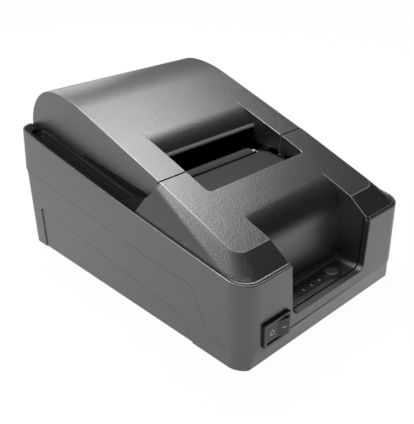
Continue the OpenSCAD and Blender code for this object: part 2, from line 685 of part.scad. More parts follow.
module lid_cover() color([0.12, 0.12, 0.13]) placed() {
    difference() {
        union() {
            difference() {
                across(-lid_half, lid_half) lid_outline(0);
                across(-lid_half + lid_t, lid_half - lid_t) {
                    lid_outline(lid_t);
                    polygon([[seam_y + seam_gap + lid_t, 40], [seam_y + seam_gap + lid_t, seam_z - 2.2],
                        [hinge_y, hinge_z + 4], [hinge_y, 40]]);
                }
                // opening in front of the recess
                across(-window_half_w, window_half_w) scoop_front(scoop_r, 60);
            }
            // inner walls of the two wings beside the window
            both_sides() intersection() {
                across(window_half_w, window_half_w + 1.8) lid_outline(0.5);
                across(0, lid_half) polygon([[seam_y, lid_edge_z(seam_y) + 1.5],
                    [scoop_y + 4, lid_edge_z(seam_y) + 1.5], [scoop_y + 4, 130], [seam_y, 130]]);
            }
            // skin of the recess, ending in a rounded lip
            across(-window_half_w - 0.5, window_half_w + 0.5) {
                polygon(concat([for (i = [0:12]) scoop_point(scoop_a(i / 12), scoop_r)],
                    [for (i = [12:-1:0]) scoop_point(scoop_a(i / 12), scoop_r - 2 * lip_r)]));
                translate(lip_mid) circle(lip_r);
            }
            // ribs across the inside of the crown, between the liner's arms
            for (y = [scoop_y + 44, scoop_y + 60]) intersection() {
                across(-arm_x + 1, arm_x - 1) difference() {
                    lid_outline(0.5);
                    lid_outline(lid_t + 2.7);
                }
                translate([-lid_half, y, lid_edge_z(y) + 10]) cube([lid_w, 1.6, 40]);
            }
            // bosses for the liner's screws
            for (p = liner_post) intersection() {
                across(-lid_half, lid_half) lid_outline(0.5);
                translate([p[0], p[1], liner_pad_z]) cylinder(r = 2.8, h = 60);
            }
        }
        for (p = liner_post) translate([p[0], p[1], liner_pad_z - 1]) cylinder(r = pilot_r, h = 5.2);
        // holes for the hinge pins
        both_sides() translate([lid_half - lid_t - 1, hinge_y, hinge_z]) rotate([0, 90, 0])
            cylinder(r = hinge_pin_r, h = lid_t + 2);
    }
}

// ---- Lid liner ----

arm_x = window_half_w + 2.1;           // inner face of the arms that carry the platen
arm_t = 2;
liner_pad_y0 = scoop_y + 8;            // front edge of the screw pads
liner_pad_z = seam_z + (liner_pad_y0 - seam_y - seam_gap) * tan(lid_angle) - lid_t - 1.2;
liner_post_x = (arm_x + arm_t + lid_half - lid_t) / 2;
liner_post = [for (y = [liner_pad_y0 + 28, liner_pad_y0 + 6]) for (s = [-1, 1]) [s * liner_post_x, y]];
liner_y1 = scoop_y + 52;
ear_r = 5;

module lid_liner() color([0.16, 0.16, 0.17]) placed() {
    difference() {
        union() {
            // arms with the platen's bearings
            both_sides() across(arm_x, arm_x + arm_t) {
                intersection() {
                    lid_outline(lid_t + fit);
                    polygon([[platen_y - ear_r, platen_z], [platen_y - ear_r, 140], [liner_y1, 140],
                        [liner_y1, lid_edge_z(liner_y1) + 4], [scoop_y - 8, lid_edge_z(scoop_y) + 1.5],
                        [platen_y + ear_r + 1.5, platen_z + 7], [platen_y + ear_r, platen_z]]);
                }
                translate([platen_y, platen_z]) circle(ear_r);
                polygon([[platen_y - ear_r, platen_z], [platen_y + ear_r, platen_z],
                    [platen_y + ear_r + 1.5, platen_z + 7.1], [platen_y - ear_r, platen_z + 7.1]]);
            }
            // roof over the roll, a skin parallel to the lid's
            across(-arm_x - 0.1, arm_x + 0.1) intersection() {
                difference() {
                    lid_outline(lid_t + 3.2);
                    lid_outline(lid_t + 5);
                }
                polygon([[scoop_y + 6, 90], [scoop_y + 6, 140], [liner_y1, 140], [liner_y1, 90]]);
            }
            // wings with the screw pads
            both_sides() difference() {
                translate([arm_x, liner_pad_y0, liner_pad_z - 2])
                    cube([lid_half - lid_t - fit - arm_x, 34, 2]);
                translate([liner_post_x - 1.5, liner_pad_y0 + 11, liner_pad_z - 3]) cube([20, 12, 4]);
            }
        }
        both_sides() translate([arm_x - 1, platen_y, platen_z]) rotate([0, 90, 0])
            cylinder(r = shaft_r + run, h = arm_t + 2);
        for (p = liner_post) translate([p[0], p[1], liner_pad_z - 5]) cylinder(r = 1.3 + fit, h = 8);
    }
}

module lid_screws() color([0.55, 0.55, 0.57]) placed() {
    for (p = liner_post) translate([p[0], p[1], liner_pad_z - 2]) rotate([180, 0, 0])
        screw(pilot_r, 5, 2.4, 1.4);
}

hinge_pin_l = 4.5;                     // how far a pin reaches into the housing
module hinge_pins() color([0.75, 0.75, 0.77]) placed() {
    both_sides() translate([lid_half - lid_t, hinge_y, hinge_z]) rotate([0, 90, 0])
        cylinder(r = hinge_pin_r, h = lid_t + hinge_pin_l);
}

// ---- Paper bin ----

bin_half = bin_w / 2;
bin_r = (case_l - bin_rear_gap - cheek_y1 - bin_front_gap) / 2;
bin_y = case_l - bin_rear_gap - bin_r;
flange_y0 = cheek_y1 + 5;              // front edge of the bin's flange
flange_half_w = low_wall_x - gap;
bin_post_x = (deck_open_w + flange_half_w) / 2;
bin_post_y = [flange_y0 + 12, case_l - 24];
bin_flange_t = 2;
function bin_flange_z(y) = deck_z(y) - deck_t;     // upper face of the flange

module bin_flange_outline() {
    y1 = deck_rear_y - 0.2;
    polygon([[flange_y0, bin_flange_z(flange_y0)], [y1, bin_flange_z(y1)],
        [y1, bin_flange_z(y1) - bin_flange_t], [flange_y0, bin_flange_z(flange_y0) - bin_flange_t]]);
}

// Puts its children at the bin's screws, square to the flange, from its underside up
module at_bin_screws() {
    for (y = bin_post_y) for (s = [-1, 1])
        translate([s * bin_post_x, y, bin_flange_z(y) - bin_flange_t])
            rotate([lid_edge_angle, 0, 0]) children();
}

module paper_bin() color([0.14, 0.14, 0.15]) placed() {
    chute_y1 = bin_y - bin_r;
    difference() {
        union() {
            across(-flange_half_w, flange_half_w) bin_flange_outline();
            // the cradle's outside
            difference() {
                across(-bin_half - bin_t, bin_half + bin_t) {
                    translate([bin_y, bin_z]) circle(bin_r + bin_t);
                    translate([bin_y - bin_r - bin_t, bin_z]) square([2 * (bin_r + bin_t), 30]);
                }
                across(-80, 80) polygon([[0, bin_flange_z(0) - 0.5], [case_l, bin_flange_z(case_l) - 0.5],
                    [case_l, 200], [0, 200]]);
            }
            // chute that leads the paper forward over the bin's front edge
            both_sides() across(bin_half, bin_half + bin_t) polygon([[flange_y0, bin_flange_z(flange_y0) - 1],
                [chute_y1, bin_flange_z(chute_y1) - 1], [chute_y1, bin_z - 6], [flange_y0, bin_z - 2]]);
            across(-bin_half - bin_t, bin_half + bin_t) polygon([[flange_y0, bin_z - 2],
                [chute_y1, bin_z - 6], [chute_y1, bin_z - 8], [flange_y0, bin_z - 4]]);
        }
        // the cradle's inside, open above
        across(-bin_half, bin_half) {
            translate([bin_y, bin_z]) circle(bin_r);
            translate([bin_y - bin_r, bin_z]) square([2 * bin_r, 60]);
            polygon([[90, bin_z - 1], [chute_y1 + 3, bin_z - 5.5], [chute_y1 + 3, 120], [90, 120]]);
        }
        at_bin_screws() translate([0, 0, -5]) cylinder(r = 1.3 + fit, h = 10);
    }
}

module bin_screws() color([0.55, 0.55, 0.57]) placed() {
    at_bin_screws() rotate([180, 0, 0]) screw(pilot_r, 3.4, 2.4, 1.4);
}

// ---- Print mechanism ----

cheek_x = 31;                          // inner face of the chassis cheeks
cheek_t = 2.5;
cheek_top = platen_z + 3;
frame_floor_z = board_z;
frame_floor_t = 2.5;
bush_r = 3.5;
gear_x0 = -40.4;                       // outer face of the gears
platen_teeth = 18;
idler_teeth = 24;
pinion_teeth = 10;
backlash = 0.08;
lift = atan2(hinge_z - platen_z, hinge_y - platen_y);   // the platen lifts at this angle from upright
idler_d = gear_module * (platen_teeth + idler_teeth) / 2 + backlash;
idler_y = platen_y + idler_d * sin(lift);
idler_z = platen_z - idler_d * cos(lift);
pinion_d = gear_module * (pinion_teeth + idler_teeth) / 2 + backlash;
motor_y = idler_y - pinion_d * cos(45);
motor_z = idler_z - pinion_d * sin(45);
idler_turn = 90 + lift + 180 / idler_teeth;             // sets a tooth gap opposite a platen gear tooth
mesh_off = idler_turn + round((225 - idler_turn) * idler_teeth / 360) * 360 / idler_teeth - 225;
pinion_turn = 45 + 180 / pinion_teeth - mesh_off * idler_teeth / pinion_teeth;
head_top = platen_z - platen_r - gap;
sink_z = head_top - head_t - sink_t;
sink_y0 = 79.5;
sink_y1 = 101;
head_y0 = sink_y0 + 4;
head_y1 = head_y0 + 15;
spring_seat_z = 46;
spring_pos = [[-6, 92], [20, 92]];
spring_r = 3;

// Outline of a spur gear with straight-flanked teeth, one tooth centred on angle turn
module gear_outline(teeth, turn = 0) {
    rp = gear_module * teeth / 2;
    pitch = 360 / teeth;
    polygon([for (i = [0:teeth - 1]) each [
        for (p = [[-0.34, -1.25], [-0.235, 0], [-0.11, 1], [0.11, 1], [0.235, 0], [0.34, -1.25]])
            let (a = turn + (i + p[0]) * pitch, r = rp + p[1] * gear_module - (p[1] > 0 ? 0.05 : 0))
                [r * cos(a), r * sin(a)]]]);
}

// Stands a gear's outline (y, z) upright at the given axis, over the gears' common width
module on_gear_side(y, z) {
    translate([gear_x0, y, z]) rotate([90, 0, 90]) linear_extrude(gear_w) children();
}

module platen_shaft() color([0.75, 0.75, 0.77]) placed() {
    translate([-arm_x - arm_t, platen_y, platen_z]) rotate([0, 90, 0])
        cylinder(r = shaft_r, h = 2 * (arm_x + arm_t));
}

module platen_roller() color([0.06, 0.06, 0.06]) placed() {
    translate([-platen_half_l, platen_y, platen_z]) rotate([0, 90, 0]) difference() {
        cylinder(r = platen_r, h = 2 * platen_half_l);
        translate([0, 0, -1]) cylinder(r = shaft_r, h = 2 * platen_half_l + 2);
    }
}

module platen_gear() color([0.85, 0.84, 0.80]) placed() {
    difference() {
        union() {
            on_gear_side(platen_y, platen_z) gear_outline(platen_teeth, lift - 90);
            translate([gear_x0, platen_y, platen_z]) rotate([0, 90, 0])
                cylinder(r = shaft_r + 1.6, h = -gear_x0 - cheek_x - cheek_t - 1.2);
        }
        translate([gear_x0 - 1, platen_y, platen_z]) rotate([0, 90, 0]) cylinder(r = shaft_r, h = 20);
    }
}

module platen_bushings() color([0.80, 0.78, 0.70]) placed() {
    both_sides() translate([cheek_x - 0.8, platen_y, platen_z]) rotate([0, 90, 0]) difference() {
        cylinder(r = bush_r, h = cheek_t + 1.6);
        translate([0, 0, -1]) cylinder(r = shaft_r + run, h = 10);
    }
}

// Side outline of a chassis cheek, with an open notch for the platen's bushing
module cheek_outline() {
    difference() {
        polygon(smooth([[cheek_y0, frame_floor_z, 0], [cheek_y0, cheek_top, 2], [cheek_y1, cheek_top, 2],
            [cheek_y1, frame_floor_z, 0]]));
        translate([platen_y, platen_z]) circle(bush_r + gap);
        polygon([[platen_y - bush_r - gap, platen_z], [platen_y - bush_r - gap - 1.4, cheek_top + 1],
            [platen_y + bush_r + gap + 0.6, cheek_top + 1], [platen_y + bush_r + gap, platen_z]]);
        // window that lightens the cheek
        polygon(smooth([[cheek_y0 + 5, 15, 2], [cheek_y1 - 5, 15, 2],
            [cheek_y1 - 5, 29, 2], [cheek_y0 + 5, 29, 2]]));
    }
}

module mechanism_frame() color([0.18, 0.18, 0.19]) placed() {
    difference() {
        union() {
            both_sides() across(cheek_x, cheek_x + cheek_t) cheek_outline();
            // floor flange on the base plate's posts
            translate([-41, cheek_y0, frame_floor_z]) cube([82, cheek_y1 - cheek_y0, frame_floor_t]);
            // front wall, the springs' seat and the rear bar
            translate([-cheek_x - 0.1, cheek_y0, frame_floor_z])
                cube([2 * cheek_x + 0.2, 1.6, platen_z - frame_floor_z - 3.5]);
            translate([-12, cheek_y0, spring_seat_z - 2]) cube([12 + cheek_x + 0.1, 28, 2]);
            translate([-cheek_x - 0.1, cheek_y1 - 1.7, sink_z - 2]) cube([2 * cheek_x + 0.2, 1.7, 6]);
        }
        for (p = mech_post) translate([p[0], p[1], 0]) cylinder(r = 1.3 + fit, h = 20);
        // holes for the motor's shaft and the idler's pin
        translate([-cheek_x - cheek_t - 1, motor_y, motor_z]) rotate([0, 90, 0]) cylinder(r = 2.5, h = 5);
        translate([-cheek_x - cheek_t - 1, idler_y, idler_z]) rotate([0, 90, 0])
            cylinder(r = idler_pin_r, h = 5);
    }
}

module mechanism_screws() color([0.55, 0.55, 0.57]) placed() {
    for (p = mech_post) translate([p[0], p[1], frame_floor_z + frame_floor_t]) screw(pilot_r, 7, 2.4, 1.4);
}

module print_head() color([0.86, 0.86, 0.84]) placed() {
    difference() {
        translate([-platen_half_l, head_y0, head_top - head_t])
            cube([2 * platen_half_l, head_y1 - head_y0, head_t]);
        // shallow step beside the row of heating dots
        translate([-platen_half_l - 1, head_y0 - 1, head_top - 0.3]) cube([2 * platen_half_l + 2, 4.5, 1]);
    }
}

module heat_sink() color([0.70, 0.71, 0.73]) placed() {
    difference() {
        translate([-platen_half_l, sink_y0, sink_z]) cube([2 * platen_half_l, sink_y1 - sink_y0, sink_t]);
        // cooling grooves on the underside
        for (x = [-24:6:24]) translate([x, sink_y0 - 1, sink_z - 1]) cube([2.4, 8.5, 2.6]);
    }
}

module head_springs() color([0.75, 0.75, 0.77]) placed() {
    wire = [for (i = [0:4]) spring_r * [cos(i * 35), sin(i * 35)],
        for (i = [4:-1:0]) (spring_r - 0.8) * [cos(i * 35), sin(i * 35)]];
    for (p = spring_pos) translate([p[0], p[1], spring_seat_z])
        linear_extrude(sink_z - spring_seat_z, twist = -360 * 3.5, slices = 34, $fn = 8) polygon(wire);
}

plate_rear_y = platen_y - platen_r - 1.6;
plate_front_y = window_y + 1.2;
plate_rear_z = platen_z + 5.2;
plate_front_z = plate_rear_z - 3.6;
plate_half_w = 36;

module tear_plate() color([0.13, 0.13, 0.14]) placed() {
    intersection() {
        across(-plate_half_w, plate_half_w) polygon([[plate_front_y, plate_front_z - 1.8],
            [plate_front_y, plate_front_z], [plate_rear_y, plate_rear_z], [plate_rear_y, cheek_top + fit],
            [cheek_y0, cheek_top + fit], [cheek_y0, plate_front_z - 1.8]]);
        linear_extrude(120) polygon(smooth([
            [-plate_half_w, plate_front_y - 1, 0], [plate_half_w, plate_front_y - 1, 0],
            [plate_half_w, plate_rear_y, 6], [-plate_half_w, plate_rear_y, 6]]));
    }
    // tabs that sit on the cheeks
    both_sides() translate([cheek_x, cheek_y0 + 2, cheek_top]) cube([cheek_t, 8, fit + 0.5]);
}

module tear_bar() color([0.70, 0.70, 0.72]) placed() {
    tooth = 1.5;
    n = floor(2 * platen_half_l / tooth);
    along(plate_rear_y, plate_rear_y + 0.5) polygon(concat([[-platen_half_l, plate_rear_z - 2]],
        [for (i = [0:n - 1]) let (x = -platen_half_l + i * tooth)
            each [[x, plate_rear_z + 0.7], [x + tooth / 2, plate_rear_z + 1.6]]],
        [[-platen_half_l + n * tooth, plate_rear_z + 0.7], [-platen_half_l + n * tooth, plate_rear_z - 2]]));
}

motor_x1 = -cheek_x;
module stepper_motor() color([0.62, 0.62, 0.64]) placed() {
    difference() {
        translate([motor_x1, motor_y, motor_z]) rotate([0, 90, 0]) union() {
            cylinder(r = motor_r, h = motor_l);
            translate([0, 0, motor_l]) cylinder(r = 3.4, h = 1.6);
            // two mounting ears
            for (s = [-1, 1]) translate([s * (motor_r + 1.5), 0, 0]) cylinder(r = 3, h = 1);
            translate([-motor_r - 1.5, -2.6, 0]) cube([2 * motor_r + 3, 5.2, 1]);
        }
        translate([motor_x1 - 1, motor_y, motor_z]) rotate([0, 90, 0]) cylinder(r = 1 + run, h = 7);
    }
}

module motor_pinion() color([0.78, 0.62, 0.30]) placed() {
    on_gear_side(motor_y, motor_z) gear_outline(pinion_teeth, pinion_turn);
    translate([gear_x0, motor_y, motor_z]) rotate([0, 90, 0]) cylinder(r = 1, h = motor_x1 - gear_x0 + 5);
}

idler_pin_r = 1.5;
module idler_gear() color([0.85, 0.84, 0.80]) placed() {
    difference() {
        union() {
            on_gear_side(idler_y, idler_z) gear_outline(idler_teeth, idler_turn);
            translate([gear_x0, idler_y, idler_z]) rotate([0, 90, 0])
                cylinder(r = 3.2, h = -gear_x0 - cheek_x - cheek_t - gap);
        }
        translate([gear_x0 - 1, idler_y, idler_z]) rotate([0, 90, 0]) cylinder(r = idler_pin_r + run, h = 20);
    }
}

module idler_pin() color([0.75, 0.75, 0.77]) placed() {
    translate([gear_x0 - 1.4, idler_y, idler_z]) rotate([0, 90, 0]) {
        cylinder(r = idler_pin_r, h = -gear_x0 + 1.4 - cheek_x);
        cylinder(r = idler_pin_r + 1, h = 1);
    }
}

module paper_sensor() color([0.10, 0.10, 0.10]) placed() {
    // it stands on the frame's rear bar and reaches forward over the heat sink
    rear_bar_top = sink_z + 4;
    difference() {
        translate([12, head_y1 + gap, rear_bar_top]) cube([6, cheek_y1 - head_y1 - gap, 3]);
        for (x = [13.5, 16.5]) translate([x, cheek_y1 - 3.2, rear_bar_top + 2]) cylinder(r = 0.8, h = 2);
        translate([11, 0, rear_bar_top - 0.1]) cube([8, sink_y1 + 0.3, sink_t - 4 + gap + 0.1]);
    }
}

// ---- Main board and ports ----

board_t = 1.6;
board_top = board_z + board_t;
jack_w = 9;
jack_h = 11;
jack_z = board_top + jack_h / 2;
usb_w = 12;
usb_h = 11;
usb_z = board_top + usb_h / 2;
drawer_w = 13.4;
drawer_h = 12.6;
drawer_z = board_top + drawer_h / 2;
port_face_y = rear_face_y - 1;              // outer faces of the ports, level with the rear recess

module main_board() color([0.05, 0.30, 0.16]) placed() {
    difference() {
        translate([-board_half_w, board_y0, board_z]) cube([2 * board_half_w, board_y1 - board_y0, board_t]);
        for (p = board_post) translate([p[0], p[1], 0]) cylinder(r = 1.3 + fit, h = 20);
    }
}

module controller_chip() color([0.08, 0.08, 0.08]) placed() {
    translate([-12, 140, board_top]) {
        cube([14, 14, 1.4]);
        // gull-wing leads along two sides
        for (i = [0:8]) for (s = [0, 1]) translate([1 + i * 1.5, s * 15 - 1, 0]) cube([0.5, 1, 0.6]);
    }
    translate([16, 160, board_top]) cube([8, 5, 1.6]);
}

module capacitors() color([0.20, 0.22, 0.30]) placed() {
    for (p = [[-38, 170], [-38, 156], [34, 140]]) translate([p[0], p[1], board_top]) rotate_extrude()
        polygon(smooth([[0, 0, 0], [5, 0, 0.4], [5, 11, 0.8], [0, 11, 0]], 3));
}

module board_screws() color([0.55, 0.55, 0.57]) placed() {
    for (p = board_post) translate([p[0], p[1], board_top]) screw(pilot_r, 6, 2.4, 1.4);
}

// A port: a block on the board with a pocket in its outer face
module port_block(x, z, w, h, depth) {
    difference() {
        translate([x - w / 2, port_face_y - depth, z - h / 2]) cube([w, depth, h]);
        children();
    }
}

module dc_jack() color([0.07, 0.07, 0.07]) placed() {
    port_block(port_x[0], jack_z, jack_w, jack_h, 14) {
        translate([port_x[0], port_face_y - 10, jack_z]) rotate([-90, 0, 0]) cylinder(r = 2.9, h = 12);
    }
    translate([port_x[0], port_face_y - 10.5, jack_z]) rotate([-90, 0, 0]) cylinder(r = 1, h = 9.5);
}

module usb_port() color([0.75, 0.75, 0.77]) placed() {
    port_block(port_x[1], usb_z, usb_w, usb_h, 16) {
        along(port_face_y - 9, port_face_y + 1) translate([port_x[1], usb_z])
            polygon(smooth([[-4.3, -4, 0.3], [4.3, -4, 0.3], [4.3, 2.4, 0.3], [2.8, 4, 0.3],
                [-2.8, 4, 0.3], [-4.3, 2.4, 0.3]], 3));
    }
    translate([port_x[1] - 2.8, port_face_y - 9.5, usb_z - 1.6]) cube([5.6, 8.5, 3.2]);
}

module drawer_port() color([0.07, 0.07, 0.07]) placed() {
    port_block(port_x[2], drawer_z, drawer_w, drawer_h, 15) {
        along(port_face_y - 11, port_face_y + 1) translate([port_x[2], drawer_z])
            polygon([[-5, -4.6], [-2, -4.6], [-2, -5.6], [2, -5.6], [2, -4.6], [5, -4.6],
                [5, 3.4], [-5, 3.4]]);
    }
}

// ---- Feed button, indicators and their board ----

button_board_t = 1.6;
button_board_z = recess_floor_h - recess_t - 6.4;
button_post = [[-18, 7.5], [23, 16]];
button_stem_r = 2.2;
tact_h = 2.4;
lamp_r = 1.2;
lamp_y = button_y;
lamp_pitch = 7.2;
function lamp_x(i) = button_x - 11.5 - lamp_pitch * i;

module button_board() color([0.05, 0.30, 0.16]) placed() {
    difference() {
        translate([-22, recess_y0 + 0.6, button_board_z]) cube([49, 14.5, button_board_t]);
        for (p = button_post) translate([p[0], p[1], 0]) cylinder(r = 1, h = 30);
    }
}

module button_board_screws() color([0.55, 0.55, 0.57]) placed() {
    for (p = button_post) translate([p[0], p[1], button_board_z]) rotate([180, 0, 0]) screw(0.7, 4.4, 1.7, 1);
}

module tact_switch() color([0.12, 0.12, 0.12]) placed() {
    translate([button_x - 3, button_y - 3, button_board_z + button_board_t]) cube([6, 6, tact_h - 0.6]);
    translate([button_x, button_y, button_board_z + button_board_t + tact_h - 0.6])
        cylinder(r = 1.7, h = 0.6);
}

module indicator_lamps() color([0.75, 0.80, 0.85]) placed() {
    for (i = [0:lamp_count - 1]) translate([lamp_x(i), lamp_y, button_board_z + button_board_t]) {
        cylinder(r = lamp_r, h = recess_floor_h + 0.5 - lamp_r - button_board_z - button_board_t);
        translate([0, 0, recess_floor_h + 0.5 - lamp_r - button_board_z - button_board_t]) sphere(lamp_r);
        cylinder(r = lamp_r + 0.4, h = 1);
    }
}

panel_x0 = lamp_x(lamp_count - 1) - 3.4;
panel_x1 = lamp_x(0) + 3.4;
module indicator_panel() color([0.16, 0.16, 0.17]) placed() {
    difference() {
        union() {
            translate([0, 0, recess_floor_h]) linear_extrude(0.5) {
                translate([panel_x0, lamp_y - 3]) square([panel_x1 - panel_x0, 6]);
                translate([panel_x0, lamp_y]) circle(3);
                translate([panel_x1, lamp_y]) circle(3);
            }
            // ring round the feed button
            translate([button_x, button_y, recess_floor_h]) rotate_extrude()
                polygon(smooth([[button_r + fit, 0, 0], [button_r + 2.2, 0, 0], [button_r + 2, 0.9, 0.4],
                    [button_r + fit, 0.7, 0.2]], 3));
        }
        for (i = [0:lamp_count - 1]) translate([lamp_x(i), lamp_y, 0])
            cylinder(r = lamp_r + fit, h = 60);
    }
}

module feed_button() color([0.20, 0.20, 0.21]) placed() {
    translate([button_x, button_y, 0]) {
        translate([0, 0, recess_floor_h]) rotate_extrude()
            polygon(smooth([[0, 0, 0], [button_r, 0, 0], [button_r, 1.6, 0.6],
                [1.5, 1.2, 2], [0, 1.2, 0]], 4));
        // stem with a collar under the floor, which keeps the button in
        stem_z0 = button_board_z + button_board_t + tact_h + button_travel + 0.1;
        translate([0, 0, stem_z0]) cylinder(r = button_stem_r, h = recess_floor_h - stem_z0 + 0.2);
        translate([0, 0, stem_z0])
            cylinder(r = button_stem_r + 1, h = recess_floor_h - recess_t - 0.1 - stem_z0);
    }
}

// ---- Rocker switch ----

switch_body_l = bezel_l - 2;
switch_body_h = bezel_h - 2.2;
pivot_y = 1;                           // the rocker's pivot behind the front wall's face
rocker_face_a = 24;                    // angle of a face's outer end about the pivot
rocker_mid = 2.4;                      // height of the face's valley above the pivot
rocker_half_h = 5.3;
rocker_reach = rocker_r * sin(rocker_face_a + rocker_tilt) - pivot_y;
opening_half_l = rocker_r + 0.2;
well_half_h = rocker_half_h + gap;
trunnion_r = 1.2;

module switch_housing() color([0.07, 0.07, 0.07]) placed() {
    difference() {
        union() {
            along(-bezel_t, 0) translate([switch_x, switch_z])
                polygon(smooth([[-bezel_l / 2, -bezel_h / 2, 1], [bezel_l / 2, -bezel_h / 2, 1],
                    [bezel_l / 2, bezel_h / 2, 1], [-bezel_l / 2, bezel_h / 2, 1]], 3));
            along(-0.1, 17) switch_hole_outline(0);
        }
        // well for the rocker
        translate([switch_x, pivot_y, switch_z - well_half_h]) cylinder(r = opening_half_l, h = 2 * well_half_h);
        translate([switch_x - opening_half_l, -bezel_t - 1, switch_z - well_half_h])
            cube([2 * opening_half_l, bezel_t + 1 + pivot_y, 2 * well_half_h]);
        // bearings for the rocker's trunnions
        translate([switch_x, pivot_y, switch_z - well_half_h - 0.5])
            cylinder(r = trunnion_r + run, h = 2 * well_half_h + 1);
        // slots for the terminals
        for (u = terminal_u) translate([switch_x + u - 0.5, 12, switch_z - 3.2]) cube([1, 10, 6.4]);
    }
}

module rocker() color([0.09, 0.09, 0.09]) placed() {
    translate([switch_x, pivot_y, switch_z - rocker_half_h]) rotate([0, 0, -rocker_tilt]) {
        linear_extrude(2 * rocker_half_h) intersection() {
            circle(rocker_r);
            polygon([[-rocker_r * cos(rocker_face_a), -rocker_r * sin(rocker_face_a)], [0, -rocker_mid],
                [rocker_r * cos(rocker_face_a), -rocker_r * sin(rocker_face_a)], [rocker_r + 1, 0],
                [rocker_r + 1, 1.6], [3, 4], [-3, 4], [-rocker_r - 1, 1.6], [-rocker_r - 1, 0]]);
        }
    }
    translate([switch_x, pivot_y, switch_z - rocker_half_h - 0.6])
        cylinder(r = trunnion_r, h = 2 * rocker_half_h + 1.2);
}

terminal_u = [-6, 0, 6];
module switch_terminals() color([0.80, 0.66, 0.35]) placed() {
    for (u = terminal_u) difference() {
        translate([switch_x + u - 0.4, 12.2, switch_z - 3]) cube([0.8, 12, 6]);
        translate([switch_x + u - 1, 22, switch_z]) rotate([0, 90, 0]) cylinder(r = 0.9, h = 2);
    }
}

lower_case();
base_plate();
rubber_feet();
case_screws();
upper_housing();
lid_cover();
lid_liner();
lid_screws();
hinge_pins();
paper_bin();
bin_screws();
platen_shaft();
platen_roller();
platen_gear();
platen_bushings();
mechanism_frame();
mechanism_screws();
print_head();
heat_sink();
head_springs();
tear_plate();
tear_bar();
stepper_motor();
motor_pinion();
idler_gear();
idler_pin();
paper_sensor();
main_board();
controller_chip();
capacitors();
board_screws();
dc_jack();
usb_port();
drawer_port();
button_board();
button_board_screws();
tact_switch();
indicator_lamps();
indicator_panel();
feed_button();
switch_housing();
rocker();
switch_terminals();
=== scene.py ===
import json
import math

import bmesh
import bpy
import numpy
from mathutils import Matrix, Vector


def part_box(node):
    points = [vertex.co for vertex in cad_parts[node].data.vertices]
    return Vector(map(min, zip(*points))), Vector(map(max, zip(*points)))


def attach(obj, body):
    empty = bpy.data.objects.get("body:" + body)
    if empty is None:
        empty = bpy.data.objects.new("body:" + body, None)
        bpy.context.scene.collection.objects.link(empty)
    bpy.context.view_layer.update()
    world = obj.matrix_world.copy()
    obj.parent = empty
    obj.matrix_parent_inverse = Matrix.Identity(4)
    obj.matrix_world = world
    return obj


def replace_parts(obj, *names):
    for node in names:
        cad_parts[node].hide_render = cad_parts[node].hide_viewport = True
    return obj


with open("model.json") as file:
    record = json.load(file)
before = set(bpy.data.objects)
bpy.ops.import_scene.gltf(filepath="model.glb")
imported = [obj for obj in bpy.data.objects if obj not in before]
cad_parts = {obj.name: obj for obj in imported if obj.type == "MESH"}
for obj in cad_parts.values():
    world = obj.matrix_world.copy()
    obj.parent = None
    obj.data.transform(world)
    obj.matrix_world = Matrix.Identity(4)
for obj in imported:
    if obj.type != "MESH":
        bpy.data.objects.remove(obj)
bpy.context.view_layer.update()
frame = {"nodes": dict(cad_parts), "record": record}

nodes = frame["nodes"]
MM = 0.001


# ---- Camera ----
# It stands in front of the printer's left corner, a little higher than the lid, and looks down
# on the switch corner, so that the long side, the front recess and the lid all show.
CAMERA_PLACE = (-0.25764, -0.27963, 0.22885)
CAMERA_TURN = (63.068, 0.985, -43.820)  # degrees
LENS = 53.9
SENSOR = 36
NEAREST = 0.01
AIM_SHIFT = (-0.0078, -0.0012)

camera = bpy.data.objects.new("camera", bpy.data.cameras.new("camera"))
camera.location = CAMERA_PLACE
camera.rotation_euler = [math.radians(a) for a in CAMERA_TURN]
camera.data.lens = LENS
camera.data.sensor_width = SENSOR
camera.data.clip_start = NEAREST
camera.data.shift_x, camera.data.shift_y = AIM_SHIFT
bpy.context.scene.collection.objects.link(camera)
bpy.context.scene.camera = camera
bpy.context.scene.view_settings.view_transform = "Standard"


# ---- Lower case ----
# The tub that everything is screwed into: injection-moulded ABS in charcoal black. The tool is
# spark-eroded, so the skin has a fine even grain with a soft sheen, and every corner of the
# moulding is eased by a few tenths of a millimetre.
CASE_BLACK = (0.015, 0.015, 0.016, 1)
CASE_RUBBED = (0.022, 0.022, 0.023, 1)
CASE_ROUGH = 0.30
EDGE_HIGHLIGHT = (0.17, 0.17, 0.172, 1)     # painted highlight on the eased corners that face up
EDGE_ROUGH = 0.25
EDGE_SHADE = (0.002, 0.002, 0.002, 1)     # painted shade on the eased corners that face down
EDGE_SHADE_ROUGH = 0.9
EDGE_SHADE_SHEEN = 0.1
SHEEN = 1.0
PLASTIC_IOR = 1.6
GRAIN = 0.7 * MM                       # how far apart the dents of the skin are
DENT = 0.13 * MM
EDGE_DENT = 0.02 * MM                  # the dents are nearly rubbed away on a corner
CELL_SHARE = 0.7                       # share of the skin's height that its dents give
SPECK_SHARE = 0.3                      # and the share of the finer specks on them
SPECK_SIZE = 0.7                       # of the grain's size
PATCH = 30 * MM                        # how broad the handled patches are
PATCH_ROUGH = 0.08
GRAIN_ROUGH = 0.06
TURN_R = 5 * MM                        # how softly a twisted face turns into the next
FOOT_TURN_R = 12 * MM
FOOT_TOP = 18 * MM                     # the rounded foot of the case's front lies below this
FOOT_FRONT = -90 * MM                  # and in front of this
WELD = 0.002 * MM
FLAT_ANGLE = 0.6                       # degrees below which faces are one plane
SHARP_ANGLE = 13                       # degrees above which a corner is a corner
TWIST_LENGTH = 60 * MM                 # edges longer than this run across a twisted skin
TWIST_ANGLE = 25
UNDER = -0.1                           # an eased corner whose normal's z is below this faces down and gets the painted shade
